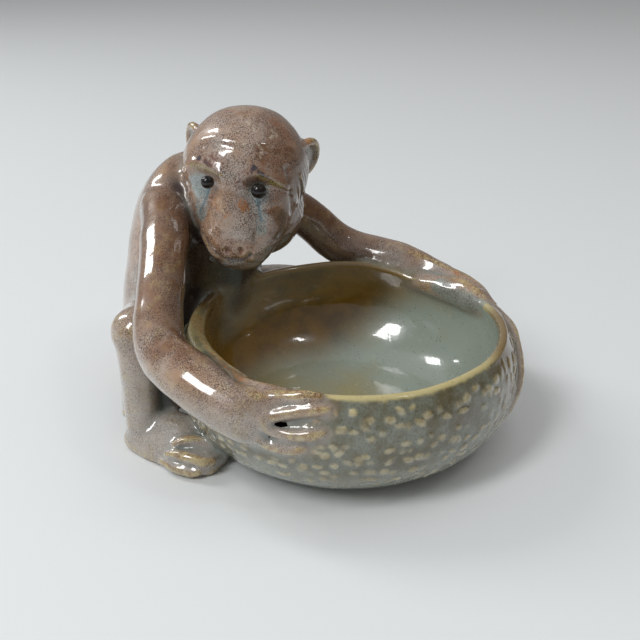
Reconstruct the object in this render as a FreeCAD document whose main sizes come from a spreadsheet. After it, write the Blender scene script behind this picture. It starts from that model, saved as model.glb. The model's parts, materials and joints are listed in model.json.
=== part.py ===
"""A squatting monkey that hugs a round bowl, as the separate clay pieces that a potter lutes together.

The frame is in millimetres, +Z up. The origin is the centre of the bowl's flat foot. The monkey sits
behind the bowl, on +Y, and faces -Y, so its right side is on -X. Its head is turned to its right.
Bearings are degrees round the bowl's axis, from +X through +Y to -X.
"""
import FreeCAD, Part
import math
import os

from FreeCAD import Placement, Rotation, Vector
from Sketcher import Constraint

OUT = "parts"
SHEET = "Sizes"
RIGHT = -1
LEFT = 1
SIDES = {"right": RIGHT, "left": LEFT}

# Driving dimensions, in millimetres and degrees
DRIVING = (
    ("overrun", 40.0, "how far a cutting shape runs past what it cuts"),
    # bowl
    ("rim_height", 48.0, "table to the top of the lip"),
    ("belly_radius", 69.0, "widest outer radius"),
    ("belly_height", 30.0, "height of the widest place"),
    ("foot_radius", 42.0, "flat foot that stands on the table"),
    ("lip_radius", 2.4, "rounding of the lip"),
    ("well_radius", 40.0, "flat floor inside"),
    ("floor_thickness", 7.0, "clay under the flat floor"),
    # torso
    ("torso_height", 100.0, "table to the top of the shoulders"),
    ("torso_half_width", 34.0, "side to side, at the widest"),
    ("torso_half_depth", 28.0, "front to back, at the widest"),
    ("torso_press", 6.0, "how far the belly is pressed on the bowl"),
    ("torso_lean", 15.0, "how far the shoulders come forward of the seat"),
    ("torso_wall", 5.0, "wall of the hollow torso"),
    ("slab_thickness", 5.0, "slab that closes the torso underneath"),
    ("vent_radius", 4.0, "vent hole in the slab"),
    ("neck_bore_radius", 6.0, "hole from the torso into the head"),
    # head
    ("head_reach", 38.0, "seat's middle forward to the skull's centre"),
    ("head_rise", 0.5, "top of the shoulders up to the skull's centre"),
    ("head_turn", 58.0, "degrees turned to the monkey's right"),
    ("head_nod", 17.0, "degrees bent down"),
    ("head_tilt", 7.0, "degrees that the left ear is down"),
    ("skull_radius", 25.0, ""),
    ("skull_wall", 5.0, "wall of the hollow skull"),
    ("jaw_radius", 20.5, "the jowls, under the skull"),
    ("muzzle_reach", 40.5, "skull's centre to the tip of the muzzle"),
    ("muzzle_radius", 12.5, ""),
    ("muzzle_droop", 41.0, "degrees that the muzzle points below the way the head faces"),
    ("muzzle_offset", 4.0, "how far the muzzle is set to the monkey's left"),
    ("ear_radius", 8.6, "middle of the ear to the outside of its rim"),
    ("ear_rim_radius", 1.7, "rolled rim"),
    ("ear_web", 1.6, "thickness inside the rim"),
    ("ear_flare", 55.0, "degrees that the ear is swept back"),
    ("eye_radius", 2.4, "glazed pellet"),
    ("eye_spacing", 20.0, "pupil to pupil"),
    # arms
    ("shoulder_spread", 21.0, "middle of the back to the shoulder's centre"),
    ("shoulder_drop", 16.0, "top of the torso down to the shoulder's centre"),
    ("upper_arm_radius", 9.2, ""),
    ("elbow_radius", 9.6, ""),
    ("forearm_radius", 10.4, ""),
    ("wrist_radius", 9.0, ""),
    ("right_elbow_rise", 4.0, "rim up to the elbow's centre"),
    ("left_elbow_rise", 3.0, "rim up to the elbow's centre"),
    ("right_elbow_bearing", 152.0, ""),
    ("left_elbow_bearing", 38.0, ""),
    ("wrist_drop", 9.5, "rim down to the wrist's centre"),
    ("right_wrist_bearing", 184.0, ""),
    ("left_wrist_bearing", -6.0, ""),
    # hands
    ("palm_radius", 13.0, ""),
    ("palm_rise", 6.0, "how far the back of the hand stands off the wall"),
    ("palm_drop", 11.5, "rim down to the palm's centre"),
    ("finger_radius", 2.9, ""),
    ("finger_spacing", 6.9, "finger to finger, down the wall"),
    ("right_finger_sweep", 19.0, "degrees round the bowl that a right finger spans"),
    ("left_finger_sweep", 50.0, "degrees round the bowl that a left finger spans"),
    ("right_finger_drop", 0.0, "how far a right finger runs down the wall"),
    ("left_finger_drop", 8.0, "how far a left finger runs down the wall"),
    # legs
    ("hip_height", 26.0, "table to the hip's centre"),
    ("right_knee_height", 45.0, "table to the knee's centre"),
    ("left_knee_height", 27.0, "table to the knee's centre"),
    ("knee_bearing", 48.0, "from the bowl's left side, or its right, back to the knee"),
    ("knee_stand_off", 14.5, "bowl's widest place to the knee's centre"),
    ("thigh_radius", 13.0, ""),
    ("knee_radius", 11.0, ""),
    ("ankle_radius", 6.5, ""),
    ("ankle_height", 10.0, "table to the ankle's centre"),
    ("ankle_flare", 8.0, "how far the ankle stands outside the knee"),
    ("ankle_advance", 8.0, "how far the ankle stands in front of the knee"),
    # feet
    ("foot_length", 42.0, "heel to the toes' roots"),
    ("foot_half_width", 10.5, "half the foot's width"),
    ("instep_height", 13.5, "table to the top of the foot"),
    ("foot_toe_in", 9.0, "degrees that the toes point inwards"),
    ("toe_radius", 2.9, ""),
    ("toe_reach", 5.0, "how far the toes stand out of the foot"),
)

# Torso from slab to shoulders: rows of shares of its height, half width, half depth and lean
TORSO_ROW_SHARES = (
    (0.00, 0.88, 0.86, 0.00),
    (0.14, 0.98, 0.96, 0.00),
    (0.32, 1.00, 1.00, 0.07),
    (0.55, 0.97, 0.97, 0.40),
    (0.75, 0.91, 0.89, 0.60),
    (0.90, 0.79, 0.71, 0.87),
    (0.97, 0.52, 0.48, 1.07),
    (1.00, 0.24, 0.25, 1.13),
)
INNER_CURVE_SHARE = 0.66
NECK_FROM_SHARE = 0.72

# Head: angles round the skull, then rows up the muzzle as shares of its reach and radius
SKULL_ANGLES = (170, 150, 125, 100, 75)
MUZZLE_ROW_SHARES = ((0.35, 1.56), (0.53, 1.24), (0.68, 1.07), (0.81, 0.96), (0.91, 0.76), (0.98, 0.38))

# Where the jowls, eyes and ears sit, as shares of the skull's radius: left, back and up
JAW_SEAT_SHARES = (0.2, -0.15, -0.65)
EYE_SEAT_SHARES = (-0.88, 0.25)
EAR_SEAT_SHARES = (0.84, 0.36, -0.02)

# Arms: what share of its radius a limb's centre stands off the wall, how the upper arm bows
# and how round its ends are
ELBOW_OFF_SHARE = 1.30
FOREARM_OFF_SHARE = 0.75
WRIST_OFF_SHARE = 0.45
ARM_BOW_SHARE = 0.72
SHOULDER_LEAN_SHARE = 0.80
ARM_END_SHARE = 0.97

# Hands: stations along a finger, its radius there, and the reach of each finger from the top one
FINGERS = 4
FINGER_STATION_SHARES = (0.0, 0.3, 0.6, 0.85, 1.0)
FINGER_RADIUS_SHARES = (0.85, 1.0, 0.95, 0.8, 0.45)
FINGER_REACH_SHARES = (0.88, 1.0, 0.96, 0.8)
FINGER_OFF_SHARE = 0.35
TOP_FINGER_SHARE = -0.7
PALM_SWEEP_SHARE = 0.75

# Legs and feet
HIP_SPREAD_SHARE = 0.55
SHIN_SWELL_SHARE = 0.8
TOES = 4
FOOT_ROW_SHARES = ((0.0, 0.45), (0.12, 0.74), (0.45, 0.94), (0.75, 1.0), (0.93, 0.78), (1.0, 0.45))
TOE_START_SHARE = 0.7
TOE_STATION_SHARES = (0.0, 0.55, 1.0)
TOE_RADIUS_SHARES = (1.0, 1.0, 0.7)
TOE_REACH_SHARES = (1.0, 0.9, 0.55, 0.0)


def start_document():
    """The document, and its sheet of driving dimensions."""
    doc = FreeCAD.newDocument("monkey_bowl")
    sheet = doc.addObject("Spreadsheet::Sheet", SHEET)
    for row, (alias, value, meaning) in enumerate(DRIVING, start=1):
        sheet.set(f"A{row}", alias)
        sheet.set(f"B{row}", str(value))
        sheet.setAlias(f"B{row}", alias)
        sheet.set(f"C{row}", meaning)
    doc.recompute()
    return doc, sheet


DOC, CELLS = start_document()


def size(alias):
    """A driving dimension's value."""
    return float(CELLS.get(alias))


def cell(alias):
    """A driving dimension as an expression names it."""
    return f"{SHEET}.{alias}"


def bound(kind, name, **sizes):
    """A new object whose sizes follow expressions over the sheet."""
    made = DOC.addObject(kind, name)
    for prop, expression in sizes.items():
        made.setExpression(prop, expression)
    return made


def placed(made, base, rotation=None):
    made.Placement = Placement(base, rotation or Rotation())
    return made


def ball(name, radius, base, rotation=None):
    return placed(bound("Part::Sphere", name, Radius=radius), base, rotation)


def loft(name, sections):
    made = DOC.addObject("Part::Loft", name)
    made.Sections = sections
    made.Solid = True
    return made


def tube(name, points, radii):
    """A limb: a loft through circles at the points, each square to the way the limb runs."""
    sections = []
    last = len(points) - 1
    for n, (point, radius) in enumerate(zip(points, radii)):
        way = points[min(n + 1, last)] - points[max(n - 1, 0)]
        circle = bound("Part::Circle", f"{name}_section_{n}", Radius=radius)
        sections.append(placed(circle, point, Rotation(Vector(0, 1, 0), Vector(), way, "ZXY")))
    return loft(name, sections)


def fuse(name, *shapes):
    made = DOC.addObject("Part::MultiFuse", name)
    made.Shapes = list(shapes)
    return made


def cut(name, base, *tools):
    """base with each tool taken away in turn."""
    made = base
    for n, tool in enumerate(tools, start=1):
        step = DOC.addObject("Part::Cut", name if n == len(tools) else f"{name}_cut_{n}")
        step.Base = made
        step.Tool = tool
        made = step
    return made


def common(name, base, tool):
    made = DOC.addObject("Part::Common", name)
    made.Base = base
    made.Tool = tool
    return made


def layer(name, bottom, thickness):
    """A box wider than the whole part, from the height bottom up."""
    reach = size("belly_radius") + size("torso_half_depth") * 2 + size("overrun")
    box = bound("Part::Box", name, Height=thickness)
    span = f"2 * ({cell('belly_radius')} + 2 * {cell('torso_half_depth')} + {cell('overrun')})"
    box.setExpression("Length", span)
    box.setExpression("Width", span)
    return placed(box, Vector(-reach, -reach, bottom))


# Places that follow from the driving dimensions


def wall_curve():
    """Radius of the outer wall's curve, which starts at the foot and is upright at the belly."""
    bulge = size("belly_radius") - size("foot_radius")
    return (bulge**2 + size("belly_height") ** 2) / (2 * bulge)


def wall_radius(height):
    """The bowl's outer radius at a height, held at its last value above the lip."""
    curve = wall_curve()
    height = min(height, size("rim_height") - size("lip_radius"))
    rise = min(abs(height - size("belly_height")), curve)
    return size("belly_radius") - curve + math.sqrt(curve**2 - rise**2)


def round_bowl(bearing, radius, height):
    angle = math.radians(bearing)
    return Vector(radius * math.cos(angle), radius * math.sin(angle), height)


def on_wall(bearing, height, stand_off):
    return round_bowl(bearing, wall_radius(height) + stand_off, height)


def seat():
    """The middle of the torso's foot."""
    return Vector(0, size("belly_radius") + size("torso_half_depth") - size("torso_press"), 0)


def leaning(height, share):
    """A point up the torso's middle line, which leans forward by a share of the whole lean."""
    return seat() + Vector(0, -size("torso_lean") * share, height)


def head_centre():
    height = size("torso_height") + size("head_rise")
    return seat() + Vector(0, -size("head_reach"), height)


def head_rotation():
    turn = Rotation(Vector(0, 0, 1), -size("head_turn"))
    nod = Rotation(Vector(1, 0, 0), size("head_nod"))
    tilt = Rotation(Vector(0, 1, 0), size("head_tilt"))
    return turn * nod * tilt


def on_head(left, back, up):
    """A point given along the head's own left, back and up."""
    return head_centre() + head_rotation().multVec(Vector(left, back, up))


def on_skull(shares):
    """A point given as shares of the skull's radius."""
    return on_head(*(share * size("skull_radius") for share in shares))


# Bowl


def arc(centre, start, end):
    """The arc from start anticlockwise to end, in a sketch's plane."""
    circle = Part.Circle(centre, Vector(0, 0, 1), (start - centre).Length)
    angles = [math.atan2(p.y - centre.y, p.x - centre.x) for p in (start, end)]
    return Part.ArcOfCircle(circle, *angles)


def inner_curve_centre(well, top):
    """Centre of the curve inside the bowl, from the edge of its flat floor to the lip."""
    chord = top - well
    radius = chord.Length * INNER_CURVE_SHARE
    inward = Vector(-chord.y, chord.x, 0).normalize()
    return well + chord * 0.5 + inward * math.sqrt(radius**2 - (chord.Length / 2) ** 2)


def outline_rules():
    """Expressions for the sketch's arcs: the outer curve, the lip's height and the inner curve."""
    bulge = f"({cell('belly_radius')} - {cell('foot_radius')})"
    curve = f"(({bulge} ^ 2 + {cell('belly_height')} ^ 2) / (2 * {bulge}))"
    lip_height = f"({cell('rim_height')} - {cell('lip_radius')})"
    rise = f"({lip_height} - {cell('belly_height')})"
    lip_outside = f"{cell('belly_radius')} - {curve} + sqrt({curve} ^ 2 - {rise} ^ 2)"
    across = f"({lip_outside} - 2 * {cell('lip_radius')} - {cell('well_radius')})"
    up = f"({lip_height} - {cell('floor_thickness')})"
    return curve, lip_height, f"{INNER_CURVE_SHARE} * sqrt({across} ^ 2 + {up} ^ 2)"


def bowl_body(name, hollow):
    """The bowl turned from one sketched outline. Without its hollow it is closed at the rim."""
    body = DOC.addObject("PartDesign::Body", name)
    outline = body.newObject("Sketcher::SketchObject", f"{name}_outline")
    plane = next(face for face in body.Origin.OriginFeatures if face.Role == "XZ_Plane")
    outline.AttachmentSupport = [(plane, "")]
    outline.MapMode = "FlatFace"

    curve, lip = wall_curve(), size("lip_radius")
    lip_height = size("rim_height") - lip
    foot = Vector(size("foot_radius"), 0, 0)
    belly = Vector(size("belly_radius") - curve, size("belly_height"), 0)
    outer_top = Vector(wall_radius(lip_height), lip_height, 0)
    lip_centre = outer_top - Vector(lip, 0, 0)
    inner_top = lip_centre - Vector(lip, 0, 0)
    lip_end = inner_top if hollow else lip_centre + Vector(0, lip, 0)
    base = outline.addGeometry(Part.LineSegment(Vector(), foot))
    wall = outline.addGeometry(arc(belly, foot, outer_top))
    rounding = outline.addGeometry(arc(lip_centre, outer_top, lip_end))
    start, end, centre, origin, point = 1, 2, 3, -1, 1

    def rule(*parts, follows=None):
        number = outline.addConstraint(Constraint(*parts))
        if follows:
            outline.setExpression(f"Constraints[{number}]", follows)

    rule("Coincident", base, start, origin, point)
    rule("Horizontal", base)
    rule("Coincident", base, end, wall, start)
    rule("Coincident", wall, end, rounding, start)
    rule("Horizontal", rounding, start, rounding, centre)
    rule("Horizontal" if hollow else "Vertical", rounding, centre, rounding, end)
    rule("DistanceX", origin, point, base, end, foot.x, follows=cell("foot_radius"))
    rule("DistanceY", origin, point, wall, centre, belly.y, follows=cell("belly_height"))
    curve_rule, lip_rule, inside_rule = outline_rules()
    rule("Radius", wall, curve, follows=curve_rule)
    rule("Radius", rounding, lip, follows=cell("lip_radius"))
    rule("DistanceY", origin, point, wall, end, lip_height, follows=lip_rule)
    if hollow:
        well = Vector(size("well_radius"), size("floor_thickness"), 0)
        inner_centre = inner_curve_centre(well, inner_top)
        inside = outline.addGeometry(arc(inner_centre, well, inner_top))
        top = outline.addGeometry(Part.LineSegment(well, Vector(0, well.y, 0)))
        rule("Coincident", rounding, end, inside, end)
        rule("Coincident", inside, start, top, start)
        rule("Radius", inside, (well - inner_centre).Length, follows=inside_rule)
        rule("DistanceX", origin, point, top, start, well.x, follows=cell("well_radius"))
        rule("DistanceY", origin, point, top, start, well.y, follows=cell("floor_thickness"))
    else:
        top = outline.addGeometry(Part.LineSegment(lip_end, Vector(0, lip_end.y, 0)))
        rule("Coincident", rounding, end, top, start)
    rule("Horizontal", top)
    top_end = outline.getPoint(top, end)
    axis = outline.addGeometry(Part.LineSegment(top_end, Vector()))
    rule("Coincident", top, end, axis, start)
    rule("Coincident", axis, end, origin, point)
    rule("Vertical", axis)
    turned = body.newObject("PartDesign::Revolution", f"{name}_turned")
    turned.Profile = outline
    turned.ReferenceAxis = (outline, ["V_Axis"])
    turned.Angle = 360
    return body


def bowl_mouth():
    """The space over the bowl inside its lip, which the hands don't reach into."""
    inner = wall_radius(size("rim_height")) - 2 * size("lip_radius")
    mouth = bound("Part::Cylinder", "bowl_mouth", Height=cell("overrun"))
    mouth.Radius = inner
    return placed(mouth, Vector(0, 0, size("rim_height") - size("lip_radius")))


# Torso


def torso_loft(name, width_share, depth_share, rises):
    """A loft up the back, through ellipses at the heights that rises gives."""
    sections = []
    for n, (_, width, depth, lean) in enumerate(TORSO_ROW_SHARES):
        ring = bound(
            "Part::Ellipse",
            f"{name}_section_{n}",
            MajorRadius=f"{cell('torso_half_width')} * {width} * {width_share}",
            MinorRadius=f"{cell('torso_half_depth')} * {depth} * {depth_share}",
        )
        sections.append(placed(ring, leaning(rises[n], lean)))
    return loft(name, sections)


def torso_forms():
    """The torso's outside as one solid, and the hollow inside it."""
    height, wall, slab = (size(a) for a in ("torso_height", "torso_wall", "slab_thickness"))
    rises = [height * row[0] for row in TORSO_ROW_SHARES]
    form = torso_loft("torso_form", "1", "1", rises)
    drawn_in = [
        f"(1 - {cell('torso_wall')} / {cell(half)})"
        for half in ("torso_half_width", "torso_half_depth")
    ]
    inner_rises = [slab + (height - wall - slab) * row[0] for row in TORSO_ROW_SHARES]
    return form, torso_loft("torso_hollow", *drawn_in, inner_rises)


def neck_bore():
    """A straight hole from high in the torso's hollow to the middle of the head."""
    low = leaning(size("torso_height") * NECK_FROM_SHARE, 1)
    way = head_centre() - low
    bore = bound("Part::Cylinder", "neck_bore", Radius=cell("neck_bore_radius"))
    bore.Height = way.Length
    return placed(bore, low, Rotation(Vector(0, 0, 1), way))


def torso_pieces(form, hollow, bowl_form, bore):
    outside = cut("torso_outside", form, bowl_form)
    slab = layer("slab_layer", 0, cell("slab_thickness"))
    vent = bound("Part::Cylinder", "vent", Radius=cell("vent_radius"), Height=cell("overrun"))
    placed(vent, seat() - Vector(0, 0, size("overrun") / 2))
    return {
        "torso": cut("torso", outside, slab, hollow, bore),
        "torso_base": cut("torso_base", common("slab_disc", outside, slab), vent),
    }


# Head


def head_form():
    """Skull drawn out into the muzzle, and the jowls under it."""
    droop = math.radians(size("muzzle_droop"))
    tip = on_head(
        size("muzzle_offset"),
        -size("muzzle_reach") * math.cos(droop),
        -size("muzzle_reach") * math.sin(droop),
    )
    centre = head_centre()
    way = (tip - centre).normalize()
    points, radii = [], []
    for angle in map(math.radians, SKULL_ANGLES):
        points.append(centre + way * size("skull_radius") * math.cos(angle))
        radii.append(f"{cell('skull_radius')} * {math.sin(angle)}")
    for reach, radius in MUZZLE_ROW_SHARES:
        points.append(centre + way * size("muzzle_reach") * reach)
        radii.append(f"{cell('muzzle_radius')} * {radius}")
    jaw = ball("jaw", cell("jaw_radius"), on_skull(JAW_SEAT_SHARES))
    return fuse("head_form", tube("skull", points, radii), jaw)


def skull_hollow():
    hollow = f"{cell('skull_radius')} - {cell('skull_wall')}"
    return ball("skull_hollow", hollow, head_centre())


def eye(name, side):
    back, up = (share * size("skull_radius") for share in EYE_SEAT_SHARES)
    centre = on_head(side * size("eye_spacing") / 2, back, up)
    return ball(name, cell("eye_radius"), centre, head_rotation())


def ear(name, side, *seats):
    """A disc of clay with a rolled rim, set on the side of the skull and swept back."""
    left, back, up = EAR_SEAT_SHARES
    turn = head_rotation() * Rotation(Vector(0, 0, 1), side * size("ear_flare"))
    turn = turn * Rotation(Vector(1, 0, 0), 90)
    ring_radius = f"{cell('ear_radius')} - {cell('ear_rim_radius')}"
    outward = turn.multVec(Vector(side * size("ear_radius") / 2, 0, 0))
    centre = on_skull((side * left, back, up)) + outward
    rim = bound("Part::Torus", f"{name}_rim", Radius1=ring_radius, Radius2=cell("ear_rim_radius"))
    placed(rim, centre, turn)
    web = bound("Part::Cylinder", f"{name}_web", Radius=ring_radius, Height=cell("ear_web"))
    placed(web, centre - turn.multVec(Vector(0, 0, size("ear_web") / 2)), turn)
    return cut(name, fuse(f"{name}_form", rim, web), *seats)


# Arms and hands


def arm_form(name, side):
    """Shoulder to wrist: down past the knee to the elbow, then along the bowl's wall."""
    elbow_bearing, wrist_bearing = size(f"{name}_elbow_bearing"), size(f"{name}_wrist_bearing")
    rim = size("rim_height")
    elbow_height, wrist_height = rim + size(f"{name}_elbow_rise"), rim - size("wrist_drop")
    shoulder = leaning(size("torso_height") - size("shoulder_drop"), SHOULDER_LEAN_SHARE)
    shoulder += Vector(side * size("shoulder_spread"), 0, 0)
    elbow = on_wall(elbow_bearing, elbow_height, size("elbow_radius") * ELBOW_OFF_SHARE)
    bow = Vector(elbow.x - shoulder.x, elbow.y - shoulder.y, 0).normalize()
    middle = (shoulder + elbow) * 0.5 + bow * size("upper_arm_radius") * ARM_BOW_SHARE
    forearm = on_wall(
        (elbow_bearing + wrist_bearing) / 2,
        (elbow_height + wrist_height) / 2,
        size("forearm_radius") * FOREARM_OFF_SHARE,
    )
    wrist = on_wall(wrist_bearing, wrist_height, size("wrist_radius") * WRIST_OFF_SHARE)
    points = [shoulder, middle, elbow, forearm, wrist]
    radii = ("upper_arm", "upper_arm", "elbow", "forearm", "wrist")
    limb = tube(f"{name}_limb", points, [cell(f"{radius}_radius") for radius in radii])
    ends = []
    for end, radius, centre in (("shoulder", "upper_arm", shoulder), ("wrist", "wrist", wrist)):
        rounding = f"{cell(f'{radius}_radius')} * {ARM_END_SHARE}"
        ends.append(ball(f"{name}_{end}", rounding, centre))
    return fuse(f"{name}_arm_form", limb, *ends)


def hand_form(name, side):
    """Palm on the wall past the wrist, and four fingers that run on along the wall."""
    way = -side
    palm_sweep = math.degrees(size("palm_radius") / size("belly_radius")) * PALM_SWEEP_SHARE
    palm_bearing = size(f"{name}_wrist_bearing") + way * palm_sweep
    palm_height = size("rim_height") - size("palm_drop")
    sunk = size("palm_rise") - size("palm_radius")
    palm = ball(f"{name}_palm", cell("palm_radius"), on_wall(palm_bearing, palm_height, sunk))
    fingers = []
    top = size("rim_height") - size("finger_radius") * TOP_FINGER_SHARE
    for n, reach in zip(range(FINGERS), FINGER_REACH_SHARES):
        points, radii = [], []
        for station, radius in zip(FINGER_STATION_SHARES, FINGER_RADIUS_SHARES):
            bearing = palm_bearing + way * size(f"{name}_finger_sweep") * reach * station
            drop = size("finger_spacing") * n + size(f"{name}_finger_drop") * station
            off = size("finger_radius") * FINGER_OFF_SHARE
            points.append(on_wall(bearing, top - drop, off))
            radii.append(f"{cell('finger_radius')} * {radius}")
        fingers.append(tube(f"{name}_finger_{n}", points, radii))
    return fuse(f"{name}_hand_form", palm, *fingers)


# Legs and feet


def knee_centre(side, height):
    """A knee stands outside the belly of the bowl."""
    centre = round_bowl(size("knee_bearing"), size("belly_radius") + size("knee_stand_off"), height)
    return Vector(side * centre.x, centre.y, height)


def ankle_centre(side):
    below = knee_centre(side, size("ankle_height"))
    return below + Vector(side * size("ankle_flare"), -size("ankle_advance"), 0)


def leg_form(name, side):
    hip = leaning(size("hip_height"), 0)
    hip += Vector(side * size("torso_half_width") * HIP_SPREAD_SHARE, 0, 0)
    ankle = ankle_centre(side)
    knee = knee_centre(side, size(f"{name}_knee_height"))
    thigh = tube(
        f"{name}_thigh",
        [hip, (hip + knee) * 0.5, knee],
        [cell("thigh_radius"), cell("thigh_radius"), cell("knee_radius")],
    )
    cap = ball(f"{name}_knee", cell("knee_radius"), knee)
    swell = f"({cell('knee_radius')} + {cell('ankle_radius')}) / 2 * {SHIN_SWELL_SHARE}"
    shin = tube(
        f"{name}_shin",
        [knee, (knee + ankle) * 0.5, ankle],
        [f"{cell('knee_radius')} * {SHIN_SWELL_SHARE}", swell, cell("ankle_radius")],
    )
    heel = ball(f"{name}_ankle", cell("ankle_radius"), ankle)
    return fuse(f"{name}_leg_form", thigh, cap, shin, heel)


def foot_form(name, side):
    """A wedge of clay on the table, heel under the ankle, with a row of toes in front."""
    turn = Rotation(Vector(0, 0, 1), -side * size("foot_toe_in"))
    forward, across = turn.multVec(Vector(0, -1, 0)), turn.multVec(Vector(side, 0, 0))
    ankle = ankle_centre(side)
    half_width, low = size("foot_half_width"), size("toe_radius")
    level = size("instep_height") - half_width
    heel = Vector(ankle.x, ankle.y, level) - forward * size("ankle_radius")
    points = [heel + forward * size("foot_length") * row[0] for row in FOOT_ROW_SHARES]
    radii = [f"{cell('foot_half_width')} * {row[1]}" for row in FOOT_ROW_SHARES]
    sole = tube(f"{name}_sole", points, radii)
    toes = []
    for n, reach in zip(range(TOES), TOE_REACH_SHARES):
        aside = across * (half_width - low) * (2 * n / (TOES - 1) - 1)
        root = size("foot_length") * TOE_START_SHARE
        tip = size("foot_length") + size("toe_reach") * reach
        points, radii = [], []
        for station, radius in zip(TOE_STATION_SHARES, TOE_RADIUS_SHARES):
            run = root + (tip - root) * station
            height = low + (half_width - low) * (1 - station) - level
            points.append(heel + aside + forward * run + Vector(0, 0, height))
            radii.append(f"{cell('toe_radius')} * {radius}")
        toes.append(tube(f"{name}_toe_{n}", points, radii))
    return fuse(f"{name}_foot_form", sole, *toes)


def build():
    """Every piece, by the name of its node. A piece gives way to the ones that it is luted to."""
    pieces = {"bowl": bowl_body("bowl", hollow=True)}
    bowl_form = bowl_body("bowl_form", hollow=False)
    mouth = bowl_mouth()
    under = layer("under_table", -size("overrun"), cell("overrun"))
    torso_form, torso_hollow = torso_forms()
    bore = neck_bore()
    pieces.update(torso_pieces(torso_form, torso_hollow, bowl_form, bore))

    eyes = {f"{name}_eye": eye(f"{name}_eye", side) for name, side in SIDES.items()}
    outside = head_form()
    pieces["head"] = cut("head", outside, torso_form, skull_hollow(), bore, *eyes.values())
    pieces.update(eyes)
    for name, side in SIDES.items():
        pieces[f"{name}_ear"] = ear(f"{name}_ear", side, outside, torso_form)
        arm = arm_form(name, side)
        leg = leg_form(name, side)
        hand = hand_form(name, side)
        foot = foot_form(name, side)
        pieces[f"{name}_arm"] = cut(f"{name}_arm", arm, torso_form, bowl_form, outside)
        pieces[f"{name}_hand"] = cut(f"{name}_hand", hand, arm, bowl_form, mouth)
        pieces[f"{name}_leg"] = cut(f"{name}_leg", leg, torso_form, bowl_form, arm, under)
        pieces[f"{name}_foot"] = cut(f"{name}_foot", foot, leg, bowl_form, under)
    return pieces


def check(pieces):
    """Stop before anything is written if an object failed or a piece has no sound shape."""
    DOC.recompute()
    for item in DOC.Objects:
        if {"Invalid", "Error"} & set(item.State):
            raise RuntimeError(f"{item.Name} failed: {item.State}")
    for name, piece in pieces.items():
        shape = piece.Shape
        if shape.isNull() or not shape.isValid():
            raise RuntimeError(f"{name} has no sound shape")
        box = shape.BoundBox
        print(
            f"{name}: {len(shape.Solids)} solid, {shape.Volume / 1000:.2f} cm3,",
            f"x {box.XMin:.1f} to {box.XMax:.1f}, y {box.YMin:.1f} to {box.YMax:.1f},",
            f"z {box.ZMin:.1f} to {box.ZMax:.1f}",
        )


def write(pieces):
    os.makedirs(OUT, exist_ok=True)
    for name, piece in pieces.items():
        piece.Label = name
        piece.Shape.exportStep(f"{OUT}/{name}.step")


if __name__ == "__main__":
    made = build()
    check(made)
    write(made)
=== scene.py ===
# %% [markdown]
# A stoneware monkey squats behind a round bowl and hugs it. The real one is fired clay: rolls and balls
# of clay are luted together, the joints are smoothed over with a wet finger, the bowl's outside gets small
# dabs of slip, and a glossy glaze runs off the ridges and gathers in the hollows. This lesson follows the
# potter. It lays the clay down as rolls and lumps, smooths the joints, models the face and fingers, adds
# the dabs, and then lets the shape itself say where the glaze is thick or thin.

# %% The frame
import json
import math

import bmesh
import bpy
import numpy as np
from mathutils import Matrix, Vector
from mathutils.bvhtree import BVHTree
from mathutils.kdtree import KDTree

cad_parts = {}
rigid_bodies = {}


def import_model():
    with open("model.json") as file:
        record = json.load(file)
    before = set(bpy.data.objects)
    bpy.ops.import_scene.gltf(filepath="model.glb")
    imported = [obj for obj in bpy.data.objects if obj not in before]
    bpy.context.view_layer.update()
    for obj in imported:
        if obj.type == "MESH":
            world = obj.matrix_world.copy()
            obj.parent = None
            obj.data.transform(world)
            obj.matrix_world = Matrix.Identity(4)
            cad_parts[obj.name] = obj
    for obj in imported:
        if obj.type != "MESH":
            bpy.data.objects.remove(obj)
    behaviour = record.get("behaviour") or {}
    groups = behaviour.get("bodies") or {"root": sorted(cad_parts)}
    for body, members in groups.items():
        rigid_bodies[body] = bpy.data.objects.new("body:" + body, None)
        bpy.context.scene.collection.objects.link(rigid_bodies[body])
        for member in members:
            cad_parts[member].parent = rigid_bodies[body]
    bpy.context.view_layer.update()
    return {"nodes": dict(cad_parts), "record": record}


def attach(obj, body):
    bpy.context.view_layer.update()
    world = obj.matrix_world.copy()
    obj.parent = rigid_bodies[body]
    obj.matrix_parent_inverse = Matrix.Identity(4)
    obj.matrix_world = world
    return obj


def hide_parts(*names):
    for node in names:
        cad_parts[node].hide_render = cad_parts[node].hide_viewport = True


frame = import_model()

record_slots = [entry["slot"] for entry in frame["record"]["materials"]]
print("nodes:", len(frame["nodes"]), "slots:", record_slots)

# %% [markdown]
# The clay is modelled in millimetres, as a potter would measure it, and each finished piece is brought to
# metres at the end. Bearings go round the bowl's axis, from the monkey's left side towards its back.

# %% Units and colours
MM = 0.001


def glaze_colour(red, green, blue):
    """A colour as the eye reads it, 0 to 255, as the linear colour that a shader wants."""
    parts = (part / 255 for part in (red, green, blue))
    return tuple(p / 12.92 if p <= 0.04045 else ((p + 0.055) / 1.055) ** 2.4 for p in parts) + (1.0,)


def put(name, data):
    """Put a mesh, light or camera into the scene."""
    thing = bpy.data.objects.new(name, data)
    bpy.context.collection.objects.link(thing)
    return thing


# %% [markdown]
# The camera comes first, because the face and fingers are placed by where they are seen. It stands in
# front of the monkey's right side and looks down on the bowl. The same numbers turn a place in the
# 640 pixel picture into a ray through the scene.

# %% Camera
FRAME_PX = 640
FOCAL_PX = 900
SENSOR_WIDTH = 36.0
CAMERA_TURN = math.radians(52)
CAMERA_DIP = math.radians(25)
CAMERA_BACK, CAMERA_ASIDE, CAMERA_HEIGHT = 328.0, -10.9, 200.5

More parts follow.
